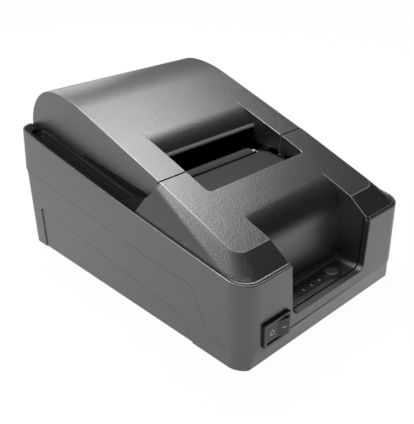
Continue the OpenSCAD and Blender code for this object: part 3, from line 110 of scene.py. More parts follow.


class Wave:
    """One socket of a shader's node tree. Its operators add the Math node that they stand for."""

    def __init__(self, tree, socket):
        self.tree = tree
        self.socket = socket

    def node(self, kind, settings=None, out=0, **inputs):
        """Adds a node and gives its socket out. An input is meant by its name, or as i0, i1 and so on."""
        made = self.tree.nodes.new(kind)
        for name, value in (settings or {}).items():
            setattr(made, name, value)
        for name, value in inputs.items():
            slot = made.inputs[int(name[1:]) if name[1:].isdigit() else name.replace("_", " ")]
            if isinstance(value, Wave):
                self.tree.links.new(value.socket, slot)
            elif value is not None:
                slot.default_value = value
        return Wave(self.tree, made.outputs[out])

    def maths(self, operation, first, second=None):
        return self.node("ShaderNodeMath", {"operation": operation}, i0=first, i1=second)

    def __add__(self, other):
        return self.maths("ADD", self, other)

    def __sub__(self, other):
        return self.maths("SUBTRACT", self, other)

    def __mul__(self, other):
        return self.maths("MULTIPLY", self, other)

    def __rsub__(self, other):
        return self.maths("SUBTRACT", other, self)

    def __lt__(self, other):
        return self.maths("LESS_THAN", self, other)

    def __abs__(self):
        return self.maths("ABSOLUTE", self)

    __radd__ = __add__
    __rmul__ = __mul__

    def either(self, other):
        return self.maths("MAXIMUM", self, other)

    def root(self):
        return self.maths("SQRT", self)

    def mixed(self, low, high):
        """The colour low where this is 0 and high where it is 1."""
        return self.node("ShaderNodeMix", {"data_type": "RGBA"}, 2, i0=self, i6=low, i7=high)

    def along(self, axis):
        """One coordinate of a place, in metres."""
        return self.node("ShaderNodeSeparateXYZ", None, "XYZ".index(axis), Vector=self)

    def rises(self, start, end, low=0.0, high=1.0):
        """A smooth step from low at start to high at end."""
        return self.node("ShaderNodeMapRange", {"interpolation_type": "SMOOTHSTEP"}, 0, Value=self,
            i1=start, i2=end, i3=low, i4=high)

    def noise(self, size, detail=2.0):
        """Noise whose lumps are about size across."""
        return self.node("ShaderNodeTexNoise", None, 0, Vector=self, Scale=1 / size, Detail=detail)

    def dented(self, height, depth, strength=1.0, normal=None):
        """A normal that follows height, depth metres deep."""
        return self.node("ShaderNodeBump", None, 0, Strength=strength, Distance=depth, Height=height,
            Normal=normal)


def finish(name, settle):
    """A new material: settle(place, shader) sets it up, where place is its Object coordinate."""
    material = bpy.data.materials.new(name)
    material.use_nodes = True
    tree = material.node_tree
    place = Wave(tree, tree.nodes.new("ShaderNodeTexCoord").outputs["Object"])
    settle(place, tree.nodes["Principled BSDF"])
    return material


def feed(shader, **sockets):
    """Links or sets the shader's own sockets by name."""
    for name, value in sockets.items():
        slot = shader.inputs[name.replace("_", " ")]
        if isinstance(value, Wave):
            value.tree.links.new(value.socket, slot)
        else:
            slot.default_value = value


def shade(colour, share):
    """The colour with its brightness times share."""
    return tuple(c * share for c in colour[:3]) + (1,)


def moulded(colour, rubbed, grain, depth, rough, sheen=0.5, ior=1.5, mark=None, turn=None):
    """A moulded skin with dents grain apart and depth deep, whose colour is rubbed in patches.
    mark(place) gives masks, each with the colour and roughness that it brings. turn is the radius
    over which one face's light runs into the next one's."""
    def settle(place, shader):
        cells = place.node("ShaderNodeTexVoronoi", {"feature": "SMOOTH_F1"}, 0, Vector=place,
            Scale=1 / grain, Smoothness=0.6)
        height = cells * CELL_SHARE + place.noise(grain * SPECK_SIZE) * SPECK_SHARE
        patches = place.noise(PATCH, 3.0)
        skin = patches.mixed(colour, rubbed)
        roughness = rough + (patches - 0.5) * PATCH_ROUGH + (height - 0.5) * GRAIN_ROUGH
        if mark:
            for mask, paint, texture in mark(place):
                skin = mask.mixed(skin, paint)
                roughness = roughness + (texture - roughness) * mask
        soft = place.node("ShaderNodeBevel", {"samples": 8}, 0, Radius=turn) if turn else None
        feed(shader, Base_Color=skin, Roughness=roughness, IOR=ior, Specular_IOR_Level=sheen,
            Normal=place.dented(height, depth, normal=soft))
    return settle


# The body that each CAD node rides on, from the record.
HOME = {node: body for body, held in frame["record"]["behaviour"]["bodies"].items() for node in held}


def link_piece(name, shape, materials, body):
    """Makes an object of a bmesh, with its place in its mesh, and lets it ride on a body."""
    mesh = bpy.data.meshes.new(name)
    shape.to_mesh(mesh)
    shape.free()
    for material in materials:
        mesh.materials.append(material)
    piece = bpy.data.objects.new(name, mesh)
    bpy.context.scene.collection.objects.link(piece)
    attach(piece, body)
    return piece


def eased(name, material, radius, steps=2, edges=(), chosen=()):
    """A CAD node's shape with its outer corners eased to radius. It stands for that node.
    edges holds the finishes of its eased corners that face up and down, mostly a painted highlight and a
    painted shade; chosen holds more finishes, each with a test of the faces that get it."""
    shape = bmesh.new()
    shape.from_mesh(nodes[name].data)
    bmesh.ops.remove_doubles(shape, verts=shape.verts, dist=WELD)
    bmesh.ops.dissolve_limit(shape, angle_limit=math.radians(FLAT_ANGLE), verts=shape.verts,
        edges=shape.edges)
    bmesh.ops.connect_verts_concave(shape, faces=shape.faces[:])

    def is_corner(edge):
        twisted = edge.calc_length() > TWIST_LENGTH
        return edge.calc_face_angle(0) > math.radians(TWIST_ANGLE if twisted else SHARP_ANGLE)

    corners = [e for e in shape.edges if e.is_manifold and e.is_convex and is_corner(e)]
    bmesh.ops.bevel(shape, geom=corners, offset=radius, offset_type="OFFSET", affect="EDGES",
        segments=steps, profile=0.5, material=1 if edges else -1, clamp_overlap=False,
        miter_outer="SHARP", miter_inner="SHARP")
    for face in shape.faces:
        face.smooth = True
        # Eased corners that face up get the painted highlight, those that face down the painted shade.
        if face.material_index:
            face.material_index = 1 if face.normal.z > UNDER else 2
        for number, (_, belongs) in enumerate(chosen, len(edges) + 1):
            if belongs(face, face.calc_center_median()):
                face.material_index = number
    for edge in shape.edges:
        edge.smooth = not is_corner(edge)
    finishes = [material, *edges, *(more for more, _ in chosen)]
    piece = link_piece(name + "_eased", shape, finishes, HOME[name])
    piece.modifiers.new("even_normals", "WEIGHTED_NORMAL").keep_sharp = True
    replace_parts(piece, name)


# Painted highlight for eased corners that face up, painted shade for those that face down.
highlight_finish = finish("painted_highlight_edge", moulded(EDGE_HIGHLIGHT, shade(EDGE_HIGHLIGHT, 1.3), GRAIN, EDGE_DENT,
    EDGE_ROUGH, SHEEN, PLASTIC_IOR))
shade_finish = finish("painted_shade_edge", moulded(EDGE_SHADE, EDGE_SHADE, GRAIN, EDGE_DENT, EDGE_SHADE_ROUGH,
    EDGE_SHADE_SHEEN))


def case_skin(name, **more):
    """The skin of the case, which the housing and the lid have too."""
    return finish(name, moulded(CASE_BLACK, CASE_RUBBED, GRAIN, DENT, CASE_ROUGH, SHEEN, PLASTIC_IOR,
        **more))


def on_foot(face, middle):
    """The rounded foot of the case's front, whose faces look forwards and down."""
    return (middle.z < FOOT_TOP and middle.y < FOOT_FRONT
        and face.normal.y < -0.1 and face.normal.z < -0.03)


case_grain = case_skin("charcoal_grain")
soft_turn = case_skin("charcoal_grain_turn", turn=TURN_R)
foot_turn = case_skin("charcoal_grain_foot", turn=FOOT_TURN_R)
# Its eased corners that face down get the painted shade; those that face up keep the plain skin.
eased("lower_case", case_grain, radius=0.5 * MM, steps=3, edges=(case_grain, shade_finish),
    chosen=((foot_turn, on_foot),))


# ---- Base plate, feet and screws ----
# A flat black tray closes the case from below. Six self-tapping screws with cross-recessed pan
# heads hold it, and four punched rubber discs are glued into its sockets.
TRAY_BLACK = (0.017, 0.017, 0.018, 1)
FOOT_BLACK = (0.018, 0.018, 0.018, 1)
ZINC = (0.52, 0.52, 0.54, 1)
DUST = 1.4 * MM                        # size of the dust's patches on rubber
TARNISH = 6 * MM
STREAK = 0.5 * MM                      # width of the fine lines on drawn metal
HEAD_WIDER = 1.15                      # a screw's head is wider than its shank by this at least
HEAD_SIDES = 24
FLAT_SHARE = 0.72                      # of the head's radius: its flat top,
ARM_SHARE = 0.55                       # the cross recess's arms
ARM_HALF_SHARE = 0.13                  # and half their width
RECESS_SHARE = 0.75                    # of the head's height
RECESS_TAPER = 0.55
DOME = ((0.94, 0.32), (1.0, 0.34), (1.0, 0.34))  # radius and drop of the rings down the head
CORE_SHARE = 0.8                       # of the shank's radius, under the thread
TIP_SHARE = 0.3                        # of the core's radius
ROOT_SHARE = 0.9
THREAD_PITCH = 1.0 * MM
FLANK_SHARE = 0.3                      # of the pitch, from root to crest
THREAD_STEPS = 12                      # steps in a turn of the thread

eased("base_plate", finish("tray_black", moulded(TRAY_BLACK, shade(TRAY_BLACK, 1.4), grain=0.7 * MM,
    depth=0.03 * MM, rough=0.42)), radius=0.4 * MM)


def dress(material, *names):
    """Gives whole CAD nodes a finish."""
    for name in names:
        mesh = nodes[name].data
        mesh.materials.clear()
        mesh.materials.append(material)


def rubber(colour, rough, lines=(1, 1, 1)):
    """Ground or punched rubber with a little dust on it. lines squeezes its fine texture."""
    def settle(place, shader):
        dust = place.noise(DUST, 4.0)
        stretched = place.node("ShaderNodeMapping", None, 0, Vector=place, Scale=lines)
        feed(shader, Base_Color=dust.mixed(colour, shade(colour, 1.8)), Roughness=rough + dust * 0.12,
            Normal=place.dented(stretched.noise(0.3 * MM), 0.03 * MM, 0.5), Specular_IOR_Level=0.35)
    return settle


dress(finish("foot_rubber", rubber(FOOT_BLACK, 0.72)), "rubber_feet")


def metal(colour, rough, streak=(1, 1, 1)):
    """Drawn or plated metal, with fine lines where streak stretches them and a faint tarnish."""
    def settle(place, shader):
        lines = place.node("ShaderNodeMapping", None, 0, Vector=place, Scale=streak).noise(STREAK, 3.0)
        feed(shader, Base_Color=place.noise(TARNISH, 3.0).mixed(colour, shade(colour, 0.8)), Metallic=1.0,
            Roughness=rough + lines * 0.12, Normal=place.dented(lines, 0.02 * MM, 0.15))
    return settle


zinc_plate = finish("zinc_plate", metal(ZINC, 0.30))


def islands(name):
    """The vertices of each separate solid of a CAD node, as arrays."""
    shape = bmesh.new()
    shape.from_mesh(nodes[name].data)
    bmesh.ops.remove_doubles(shape, verts=shape.verts, dist=WELD)
    left = set(shape.verts)
    found = []
    while left:
        grown = [min(left, key=lambda v: v.index)]
        left.discard(grown[0])
        for vert in grown:
            for edge in vert.link_edges:
                other = edge.other_vert(vert)
                if other in left:
                    left.discard(other)
                    grown.append(other)
        found.append(numpy.array([v.co[:] for v in grown]))
    shape.free()
    return found


def screw_frame(points):
    """Where a screw sits: the matrix that has its head's top at the origin and +Z out of the head,
    then its length, its head's radius and height, and its shank's radius."""
    middle = points.mean(0)
    spread, turns = numpy.linalg.eigh(numpy.cov((points - middle).T))
    odd = 0 if spread[1] - spread[0] > spread[2] - spread[1] else 2
    axis = turns[:, odd]
    heights = (points - middle) @ axis
    radii = numpy.linalg.norm((points - middle) - numpy.outer(heights, axis), axis=1)
    if radii[heights > heights.mean()].max() < radii.max() * 0.99:
        axis = -axis
        heights = -heights
    top = heights.max()
    shank = radii[heights < heights.min() + 0.1 * MM].max()
    head = top - heights[radii > shank * HEAD_WIDER].min()
    turn = Vector(axis).to_track_quat("Z", "X").to_matrix().to_4x4()
    place = Matrix.Translation(Vector(middle + axis * top)) @ turn
    return place, top - heights.min(), radii.max(), head, shank


def drawn_on(shape, edges, radius_from, radius_to, drop):
    """Extrudes a ring of edges down by drop, and scales it from one radius to the other."""
    made = bmesh.ops.extrude_edge_only(shape, edges=edges)["geom"]
    ring = [g for g in made if isinstance(g, bmesh.types.BMVert)]
    bmesh.ops.scale(shape, verts=ring, vec=(radius_to / radius_from, radius_to / radius_from, 1))
    bmesh.ops.translate(shape, verts=ring, vec=(0, 0, -drop))
    return [g for g in made if isinstance(g, bmesh.types.BMEdge) and all(v in ring for v in g.verts)]


def add_screw(shape, place, length, head_r, head_h, shank_r):
    """One cross-recessed pan-head screw with a cut thread."""
    screw = bmesh.new()
    flat_r = head_r * FLAT_SHARE
    arm, half = head_r * ARM_SHARE, head_r * ARM_HALF_SHARE
    rim = bmesh.ops.create_circle(screw, segments=HEAD_SIDES, radius=flat_r)["verts"]
    rim_edges = list({e for v in rim for e in v.link_edges})
    corner = [(arm, -half), (arm, half), (half, half)]
    cross = []
    for quarter in range(4):
        turn = Matrix.Rotation(quarter * math.pi / 2, 2)
        cross += [screw.verts.new((*(turn @ Vector(p)), 0)) for p in corner]
    cross_edges = [screw.edges.new((cross[i], cross[(i + 1) % len(cross)])) for i in range(len(cross))]
    bmesh.ops.triangle_fill(screw, use_beauty=True, edges=rim_edges + cross_edges)
    recess = drawn_on(screw, cross_edges, 1, RECESS_TAPER, head_h * RECESS_SHARE)
    bmesh.ops.edgeloop_fill(screw, edges=recess)
    core = shank_r * CORE_SHARE
    outline = [(head_r * wide, head_h * drop) for wide, drop in DOME]
    outline += [(core, 0), (core, length - head_h - core), (core * TIP_SHARE, core)]
    ring, ring_r = rim_edges, flat_r
    for radius, drop in outline:
        ring = drawn_on(screw, ring, ring_r, radius, drop)
        ring_r = radius
    bmesh.ops.edgeloop_fill(screw, edges=ring)
    turns = (length - head_h - 2 * core) / THREAD_PITCH
    flank, root = THREAD_PITCH * FLANK_SHARE, core * ROOT_SHARE
    tooth = [screw.verts.new((radius, 0, -head_h - down * flank))
        for radius, down in ((root, 1), (shank_r, 2), (root, 3))]
    start = screw.faces.new(tooth)
    step = Vector((0, 0, -THREAD_PITCH / THREAD_STEPS))
    steps = max(1, round(turns * THREAD_STEPS))
    bmesh.ops.spin(screw, geom=[start] + list(start.edges) + tooth, cent=(0, 0, 0), axis=(0, 0, 1),
        dvec=step, angle=steps / THREAD_STEPS * 2 * math.pi, steps=steps, use_duplicate=False)
    bmesh.ops.remove_doubles(screw, verts=screw.verts, dist=WELD)
    bmesh.ops.recalc_face_normals(screw, faces=screw.faces)
    bmesh.ops.transform(screw, matrix=place, verts=screw.verts)
    made = bpy.data.meshes.new("screw")
    screw.to_mesh(made)
    screw.free()
    shape.from_mesh(made)
    bpy.data.meshes.remove(made)


def screws(name):
    """Cross-recessed screws in place of a CAD node's plain ones."""
    shape = bmesh.new()
    for points in islands(name):
        add_screw(shape, *screw_frame(points))
    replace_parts(link_piece(name + "_cut", shape, [zinc_plate], HOME[name]), name)


for group in ("case_screws", "bin_screws", "lid_screws", "mechanism_screws", "board_screws",
        "button_board_screws"):
    screws(group)


# ---- Circuit boards ----
# Glass-epoxy boards under green solder mask, with copper tracks showing through as paler lines.
# The controller, its driver and three electrolytic capacitors stand on the main board.
MASK_GREEN = (0.012, 0.085, 0.040, 1)
TRACK_GREEN = (0.03, 0.16, 0.08, 1)
SLEEVE_BLUE = (0.012, 0.014, 0.045, 1)
CHIP_BLACK = (0.014, 0.014, 0.014, 1)


def solder_mask(place, shader):
    """Tracks laid out like courses of brick, which stand a little proud of the board."""
    tracks = place.node("ShaderNodeTexBrick", {"offset": 0.5}, 1, Vector=place, Scale=160.0,
        Mortar_Size=0.03, Mortar_Smooth=0.2)
    feed(shader, Base_Color=tracks.mixed(MASK_GREEN, TRACK_GREEN),
        Roughness=0.28 + place.noise(4 * MM) * 0.08, Normal=place.dented(tracks, 0.03 * MM, 0.3))


dress(finish("solder_mask", solder_mask), "main_board", "button_board")
dress(finish("capacitor_sleeve", moulded(SLEEVE_BLUE, shade(SLEEVE_BLUE, 1.4), grain=1.2 * MM,
    depth=0.01 * MM, rough=0.25)), "capacitors")
part_black = finish("component_black", moulded(CHIP_BLACK, shade(CHIP_BLACK, 1.4), grain=0.5 * MM,
    depth=0.02 * MM, rough=0.5))
dress(part_black, "controller_chip")
eased("tact_switch", part_black, radius=0.1 * MM)


# ---- Rear ports ----
# Power inlet, USB socket and cash-drawer socket stand on the main board and look out of one
# sunken panel in the rear wall. The USB shell is folded from tinned steel, the other two are black
# mouldings, and the wires and contacts in them are gilt.
TIN = (0.58, 0.58, 0.60, 1)
GILT = (0.80, 0.58, 0.25, 1)
MOUTH = 0.5 * MM                       # a port's pin or tongue starts this far behind its face
PIN_HALF = 1.1 * MM
TONGUE_HALF_X, TONGUE_HALF_Z = 2.9 * MM, 1.7 * MM
WIRES = 6
WIRE_PITCH = 1.02 * MM
WIRE_R = 0.22 * MM
WIRE_BENDS = ((1.6 * MM, 2.9 * MM), (8.5 * MM, 0.6 * MM), (9.6 * MM, 2.6 * MM))  # inwards, up
CONTACT_SIZE = (1.0 * MM, 6.4 * MM, 0.12 * MM)
CONTACT_X, CONTACT_IN, CONTACT_Z = 1.25 * MM, 4.8 * MM, 1.66 * MM
CONTACT_EASE = 0.05 * MM

gilt_contact = finish("gilt_contact", metal(GILT, 0.22))
bright_pin = finish("bright_pin", metal(TIN, 0.2))


def port_middle(node):
    """The middle of a port's face: how far across, how far back and how high it is."""
    (left, _, low), (right, back, high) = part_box(node)
    return (left + right) / 2, back, (low + high) / 2


def in_core(node, half_x, half_z):
    """A test of the faces of a port's pin or tongue, which lie round its middle line."""
    across, back, up = port_middle(node)
    return lambda face, middle: (abs(middle.x - across) < half_x and abs(middle.z - up) < half_z
        and middle.y < back - MOUTH)


eased("dc_jack", part_black, radius=0.2 * MM,
    chosen=((bright_pin, in_core("dc_jack", PIN_HALF, PIN_HALF)),))
eased("drawer_port", part_black, radius=0.2 * MM)
eased("usb_port", finish("tinned_shell", metal(TIN, 0.26, (1, 0.2, 1))), radius=0.1 * MM,
    chosen=((part_black, in_core("usb_port", TONGUE_HALF_X, TONGUE_HALF_Z)),))


def rod(shape, start, end, radius, sides=10):
    """A straight wire from start to end."""
    along = Vector(end) - Vector(start)
    turn = along.to_track_quat("Z", "X").to_matrix().to_4x4()
    bmesh.ops.create_cone(shape, cap_ends=True, segments=sides, radius1=radius, radius2=radius,
        depth=along.length, matrix=Matrix.Translation((Vector(start) + Vector(end)) / 2) @ turn)


across, back, up = port_middle("drawer_port")
wires = bmesh.new()
for i in range(WIRES):
    x = across + (i - (WIRES - 1) / 2) * WIRE_PITCH
    bends = [(x, back - inwards, up + rise) for inwards, rise in WIRE_BENDS]
    for start, end in zip(bends, bends[1:]):
        rod(wires, start, end, WIRE_R)
link_piece("drawer_wires", wires, [gilt_contact], "base")

across, back, up = port_middle("usb_port")
strips = bmesh.new()
for z in (-CONTACT_Z, CONTACT_Z):
    for x in (-CONTACT_X, CONTACT_X):
        place = Matrix.Translation((across + x, back - CONTACT_IN, up + z))
        bmesh.ops.create_cube(strips, size=1, matrix=place @ Matrix.Diagonal((*CONTACT_SIZE, 1)))
bmesh.ops.bevel(strips, geom=strips.edges[:], offset=CONTACT_EASE, segments=1, affect="EDGES",
    profile=0.5)
link_piece("usb_contacts", strips, [gilt_contact], "base")


# ---- Rocker switch ----
# A standard snap-in rocker in glossy black: a bezel with its well, and a key that tips in it,
# with a ring and a bar printed in white on the key's two halves.
GLOSS_BLACK = (0.008, 0.008, 0.008, 1)
PRINT_WHITE = (0.80, 0.80, 0.80, 1)
RING_R = 1.35 * MM
RING_LINE = 0.22 * MM                  # half the width of the ring's and the bar's line
BAR_HALF = 1.4 * MM
PRINT_ROUGH = 0.5
BRASS = (0.68, 0.48, 0.20, 1)

(key_left, _, key_low), (key_right, _, key_high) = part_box("rocker")
key_x, key_z = (key_left + key_right) / 2, (key_low + key_high) / 2
mark_out = (key_right - key_left) / 4  # from the key's middle to the middle of each half


def printed_marks(place):
    """The ring on the key's left half and the bar on its right one."""
    across, up = place.along("X"), place.along("Z") - key_z
    from_ring = across - (key_x - mark_out)
    ring = abs((from_ring * from_ring + up * up).root() - RING_R) < RING_LINE
    bar = (abs(across - (key_x + mark_out)) < BAR_HALF) * (abs(up) < RING_LINE)
    return [(ring.either(bar), PRINT_WHITE, PRINT_ROUGH)]


eased("switch_housing", finish("bezel_black", moulded(shade(GLOSS_BLACK, 1.6), shade(GLOSS_BLACK, 2.2),
    grain=0.5 * MM, depth=0.01 * MM, rough=0.32, sheen=0.8)), radius=0.5 * MM, steps=3)
eased("rocker", finish("key_black", moulded(GLOSS_BLACK, shade(GLOSS_BLACK, 1.5), grain=0.5 * MM,
    depth=0.01 * MM, rough=0.28, mark=printed_marks)), radius=0.35 * MM, steps=3)
brass = finish("brass", metal(BRASS, 0.28))
dress(brass, "switch_terminals")


# ---- Print mechanism ----
# A black chassis carries the motor, the gears, the sensor and the print head: a glazed ceramic
# plate on an extruded aluminium heat sink, pressed up by two springs. The tear bar in front is
# toothed spring steel.
INNER_BLACK = (0.012, 0.012, 0.013, 1)
BRIGHT = (0.56, 0.56, 0.58, 1)
BLUED = (0.10, 0.10, 0.11, 1)
MOTOR_CAN = (0.40, 0.40, 0.42, 1)
ALUMINIUM = (0.66, 0.67, 0.69, 1)
ACETAL = (0.62, 0.61, 0.56, 1)
GLAZE = (0.70, 0.70, 0.67, 1)
CLOUD = 2.5 * MM                       # size of the clouds in acetal and glaze
LIGHT_DEEP = (0.001, 0.001, 0.001)     # how deep light enters them

inner_black = finish("inner_black", moulded(INNER_BLACK, shade(INNER_BLACK, 1.5), grain=0.9 * MM,
    depth=0.02 * MM, rough=0.45, sheen=0.4))
eased("mechanism_frame", inner_black, radius=0.3 * MM)
eased("paper_sensor", part_black, radius=0.1 * MM)
dress(finish("bright_steel", metal(BRIGHT, 0.22, (0.2, 4, 4))), "platen_shaft", "hinge_pins",
    "head_springs", "idler_pin")
dress(finish("blued_steel", metal(BLUED, 0.5, (0.2, 4, 4))), "tear_bar")
dress(finish("motor_can", metal(MOTOR_CAN, 0.34, (0.2, 1, 1))), "stepper_motor")
dress(finish("extruded_aluminium", metal(ALUMINIUM, 0.30, (0.05, 2, 2))), "heat_sink")
dress(brass, "motor_pinion")


def milky(colour, rough):
    """Acetal or glaze: a cloudy pale surface that light enters a little."""
    def settle(place, shader):
        cloud = place.noise(CLOUD, 3.0)
        feed(shader, Base_Color=cloud.mixed(colour, shade(colour, 0.9)), Roughness=rough + cloud * 0.1,
            Subsurface_Weight=0.1, Subsurface_Radius=LIGHT_DEEP)
    return settle


dress(finish("acetal", milky(ACETAL, 0.42)), "platen_gear", "idler_gear", "platen_bushings")
dress(finish("glazed_ceramic", milky(GLAZE, 0.12)), "print_head")


# ---- Paper bin and tear plate ----
# The bin is one thin black moulding that hangs under the deck on its screws. The tear plate in
# front of the bar is a black moulding too, smoother and darker than the housing round it.
eased("paper_bin", inner_black, radius=0.4 * MM)
eased("tear_plate", finish("plate_black", moulded(shade(INNER_BLACK, 0.8), INNER_BLACK,
    grain=0.8 * MM, depth=0.02 * MM, rough=0.5, sheen=0.3)), radius=0.4 * MM)


# ---- Upper housing ----
# One moulding of the case's own plastic, which sits in a rebate of the lower case: the cowl in
# front, with the recess, and the deck with the two bars beside the lid. Its finger troughs keep a
# coarse matt texture for grip, and are coloured darker than the case as a painted shade. The gap
# before the lid, the rim beside the lower case and the eased corners that face down get a painted
# shade too, and the eased corners that face up a painted highlight.
TROUGH_SHADE_BLACK = (0.007, 0.007, 0.008, 1)
TROUGH_ROUGH = 0.8
TROUGH_SHEEN = 0.15
TROUGH_LOW = 60 * MM                   # the troughs lie above this
TROUGH_UNDER_LID = 0.5 * MM            # and start this far under the lid's side
SEAM = 0.45 * MM                       # breadth of the painted shade line beside the gap before the lid
SEAM_LOW = 50 * MM                     # the line ends at this height
GAP = 0.4 * MM
TURN_X, TURN_Z = 61.5 * MM, 57 * MM    # the cowl's twisted flanks lie beyond and above these
TURN_BEHIND = 6 * MM                   # and reach this far past the lid's front
RIM_X, RIM_Y = 66 * MM, -98 * MM       # the housing's rim lies beyond or in front of these

(_, lid_front, _), (lid_side, _, _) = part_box("lid_cover")


def in_seam(face, middle):
    """The gap in front of the lid and its eased edges, which get a painted shade line."""
    reach = [v.co.y for v in face.verts]
    return (lid_front - GAP - SEAM < min(reach) and max(reach) < lid_front + SEAM
        and middle.z > SEAM_LOW)


def in_trough(face, middle):
    """The finger troughs beside the lid."""
    return (abs(middle.x) > lid_side - TROUGH_UNDER_LID and middle.z > TROUGH_LOW
        and min(v.co.y for v in face.verts) > lid_front + MM)


def on_turn(face, middle):
    """The twisted faces down the cowl's flanks."""
    return (abs(middle.x) > TURN_X and middle.y < lid_front + TURN_BEHIND and middle.z > TURN_Z
        and face.normal.z > 0.2)


def on_rim(face, middle):
    """The eased edge beside the lower case, which lies in the shadow of the joint and gets the painted
    shade.
    """
    return face.material_index == 1 and (abs(middle.x) > RIM_X or middle.y < RIM_Y)


# Painted shade: the troughs are coloured darker than the case for the shade that falls beside the lid.
trough_painted_shade = finish("trough_painted_shade", moulded(TROUGH_SHADE_BLACK, TROUGH_SHADE_BLACK, GRAIN, DENT, TROUGH_ROUGH,
    TROUGH_SHEEN))
eased("upper_housing", case_grain, radius=0.35 * MM, edges=(highlight_finish, shade_finish),
    chosen=((soft_turn, on_turn), (trough_painted_shade, in_trough), (shade_finish, in_seam),
    (shade_finish, on_rim)))


# ---- Panel, lamps and feed button ----
# A thin satin panel lies in the recess's floor with three clear lamps and the round feed button,
# a dished cap in satin grey-black.
PANEL_BLACK = (0.010, 0.010, 0.011, 1)
BUTTON_GREY = (0.045, 0.045, 0.048, 1)
LAMP_DARK, LAMP_PALE = (0.22, 0.23, 0.25, 1), (0.34, 0.35, 0.37, 1)

eased("indicator_panel", finish("panel_satin", moulded(PANEL_BLACK, shade(PANEL_BLACK, 1.6),
    grain=0.4 * MM, depth=0.01 * MM, rough=0.4)), radius=0.2 * MM)
# The button's eased corners get the painted highlight above and the painted shade below.
eased("feed_button", finish("button_satin", moulded(BUTTON_GREY, shade(BUTTON_GREY, 1.4),
    grain=0.4 * MM, depth=0.015 * MM, rough=0.36)), radius=0.2 * MM, edges=(highlight_finish, shade_finish))


def clear_lamp(place, shader):
    """Clear moulded plastic, cloudy grey while the lamp is off."""
    cloud = place.noise(0.8 * MM)
    feed(shader, Base_Color=cloud.mixed(LAMP_DARK, LAMP_PALE), Roughness=0.12 + cloud * 0.08)


dress(finish("clear_lamp", clear_lamp), "indicator_lamps")


# ---- Lid and liner ----
# The lid is moulded like the case. The lip where the receipt passes has been polished lighter by
# paper. The liner, screwed on inside, carries the platen, a ground rubber sleeve on a steel shaft.
LIP_Y, LIP_Z = -5.27 * MM, 87.55 * MM
LIP_R = 2.0 * MM
LIP_HALF = 44 * MM                     # the lip reaches this far to either side
LIP_GREY = (0.36, 0.36, 0.36, 1)
LIP_ROUGH = 0.35
PLATEN_BLACK = (0.022, 0.022, 0.023, 1)


def polished_lip(place):
    """A round stripe along the lip, which fades out at its radius."""
    back, up = place.along("Y") - LIP_Y, place.along("Z") - LIP_Z
    near = (back * back + up * up).rises(0.5 * LIP_R * LIP_R, LIP_R * LIP_R, 1.0, 0.0)
    return [(near * (abs(place.along("X")) < LIP_HALF), LIP_GREY, LIP_ROUGH)]


# The lid's eased corners get the painted highlight above and the painted shade below, and a painted shade
# line runs along the gap before it.
eased("lid_cover", case_skin("charcoal_grain_lid", mark=polished_lip), radius=0.45 * MM, steps=3,
    edges=(highlight_finish, shade_finish), chosen=((shade_finish, in_seam),))
eased("lid_liner", inner_black, radius=0.4 * MM)
dress(finish("platen_rubber", rubber(PLATEN_BLACK, 0.6, (6, 1, 1))), "platen_roller")


# ---- Floor and light ----
# The printer stands on a white table. One soft panel hangs close over its rear right corner, one
# over its left side and one behind, and the room is dim low down in front on the right.
FLOOR_R = 2.5
FLOOR_SIDES = 96
UNDER_FEET = 0.05 * MM                 # keeps the table clear of the feet's faces
TABLE_WHITE = (0.9, 0.9, 0.9, 1)
TABLE_ROUGH = 0.9
LIT_R = 0.35                           # how far out the table mirrors as plain white
DIM_SPOT = (-0.2, -0.06, 0)            # the table mirrors dimmer in front on the left
DIM_R = 0.24
DIM_LOW = 0.55
FLOOR_GLOW = 0.97                      # share of the table's colour that is even white to the camera
SKY_WHITE = (1, 1, 1, 1)
SKY_BRIGHT = (-0.35, 0.55, 0.76)       # the direction in which the room is brightest
SKY_EDGE = (0.04, 0.84)                # how far round towards there its light starts and stops rising
SKY_LOW = 0.03
SKY_HIGH = 0.7
# Each soft panel's place, the point it faces, its width and length, and its brightness.
PANELS = {
    "main_panel": ((0.22, 0.18, 0.62), (0.22, 0.18, 0), (0.38, 0.32), 6.6),
    "left_panel": ((-0.37, 0.24, 0.62), (-0.2, 0.18, 0), (0.30, 0.74), 4.2),
    "rear_panel": ((0.15, 0.85, 0.35), (0, 0, 0.08), (0.7, 0.3), 2.0),
}

table = bmesh.new()
bmesh.ops.create_circle(table, cap_ends=True, segments=FLOOR_SIDES, radius=FLOOR_R)
bmesh.ops.translate(table, verts=table.verts, vec=(0, 0, -UNDER_FEET))
floor_mesh = bpy.data.meshes.new("floor")
table.to_mesh(floor_mesh)
table.free()
floor = bpy.data.objects.new("floor", floor_mesh)
bpy.context.scene.collection.objects.link(floor)


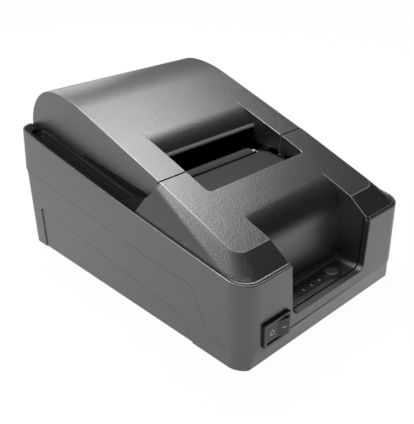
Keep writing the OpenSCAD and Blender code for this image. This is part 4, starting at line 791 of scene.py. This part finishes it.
def pale(place, shader):
    """Nearly even white to the camera, with a trace of the shadow, and white in what mirrors it."""
    feed(shader, Base_Color=TABLE_WHITE, Roughness=TABLE_ROUGH)
    seen = place.node("ShaderNodeLightPath", None, "Is Camera Ray")
    mirrored = place.node("ShaderNodeLightPath", None, "Is Glossy Ray")
    from_middle = place.node("ShaderNodeVectorMath", {"operation": "LENGTH"}, 1, i0=place)
    from_dim = place.node("ShaderNodeVectorMath", {"operation": "DISTANCE"}, 1, i0=place, i1=DIM_SPOT)
    white = from_middle.rises(LIT_R, 3 * LIT_R, 1.0, 0.0) * from_dim.rises(DIM_R / 4, DIM_R, DIM_LOW, 1.0)
    glow = place.node("ShaderNodeEmission", None, 0, Strength=1.0)
    mix = place.node("ShaderNodeMixShader", None, 0, i0=seen * FLOOR_GLOW + mirrored * white,
        i1=Wave(place.tree, shader.outputs[0]), i2=glow)
    place.tree.links.new(mix.socket, place.tree.nodes["Material Output"].inputs[0])


floor_mesh.materials.append(finish("white_table", pale))

world = bpy.data.worlds.new("studio")
world.use_nodes = True
bpy.context.scene.world = world
sky = world.node_tree
towards = Wave(sky, sky.nodes.new("ShaderNodeTexCoord").outputs["Generated"])
seen = towards.node("ShaderNodeLightPath", None, "Is Camera Ray")
seen_through = towards.node("ShaderNodeLightPath", None, "Is Transmission Ray")
backdrop = seen.either(seen_through)
lit_side = towards.node("ShaderNodeVectorMath", {"operation": "DOT_PRODUCT"}, 1, i0=towards,
    i1=SKY_BRIGHT)
strength = backdrop + (1 - backdrop) * lit_side.rises(*SKY_EDGE, SKY_LOW, SKY_HIGH)
feed(sky.nodes["Background"], Color=SKY_WHITE, Strength=strength)

for name, (place, aim, (width, length), brightness) in PANELS.items():
    lamp = bpy.data.objects.new(name, bpy.data.lights.new(name, "AREA"))
    lamp.data.shape = "RECTANGLE"
    lamp.data.size, lamp.data.size_y = width, length
    lamp.data.energy = brightness * math.pi * width * length
    lamp.location = place
    lamp.rotation_euler = (Vector(aim) - Vector(place)).to_track_quat("-Z", "Y").to_euler()
    bpy.context.scene.collection.objects.link(lamp)
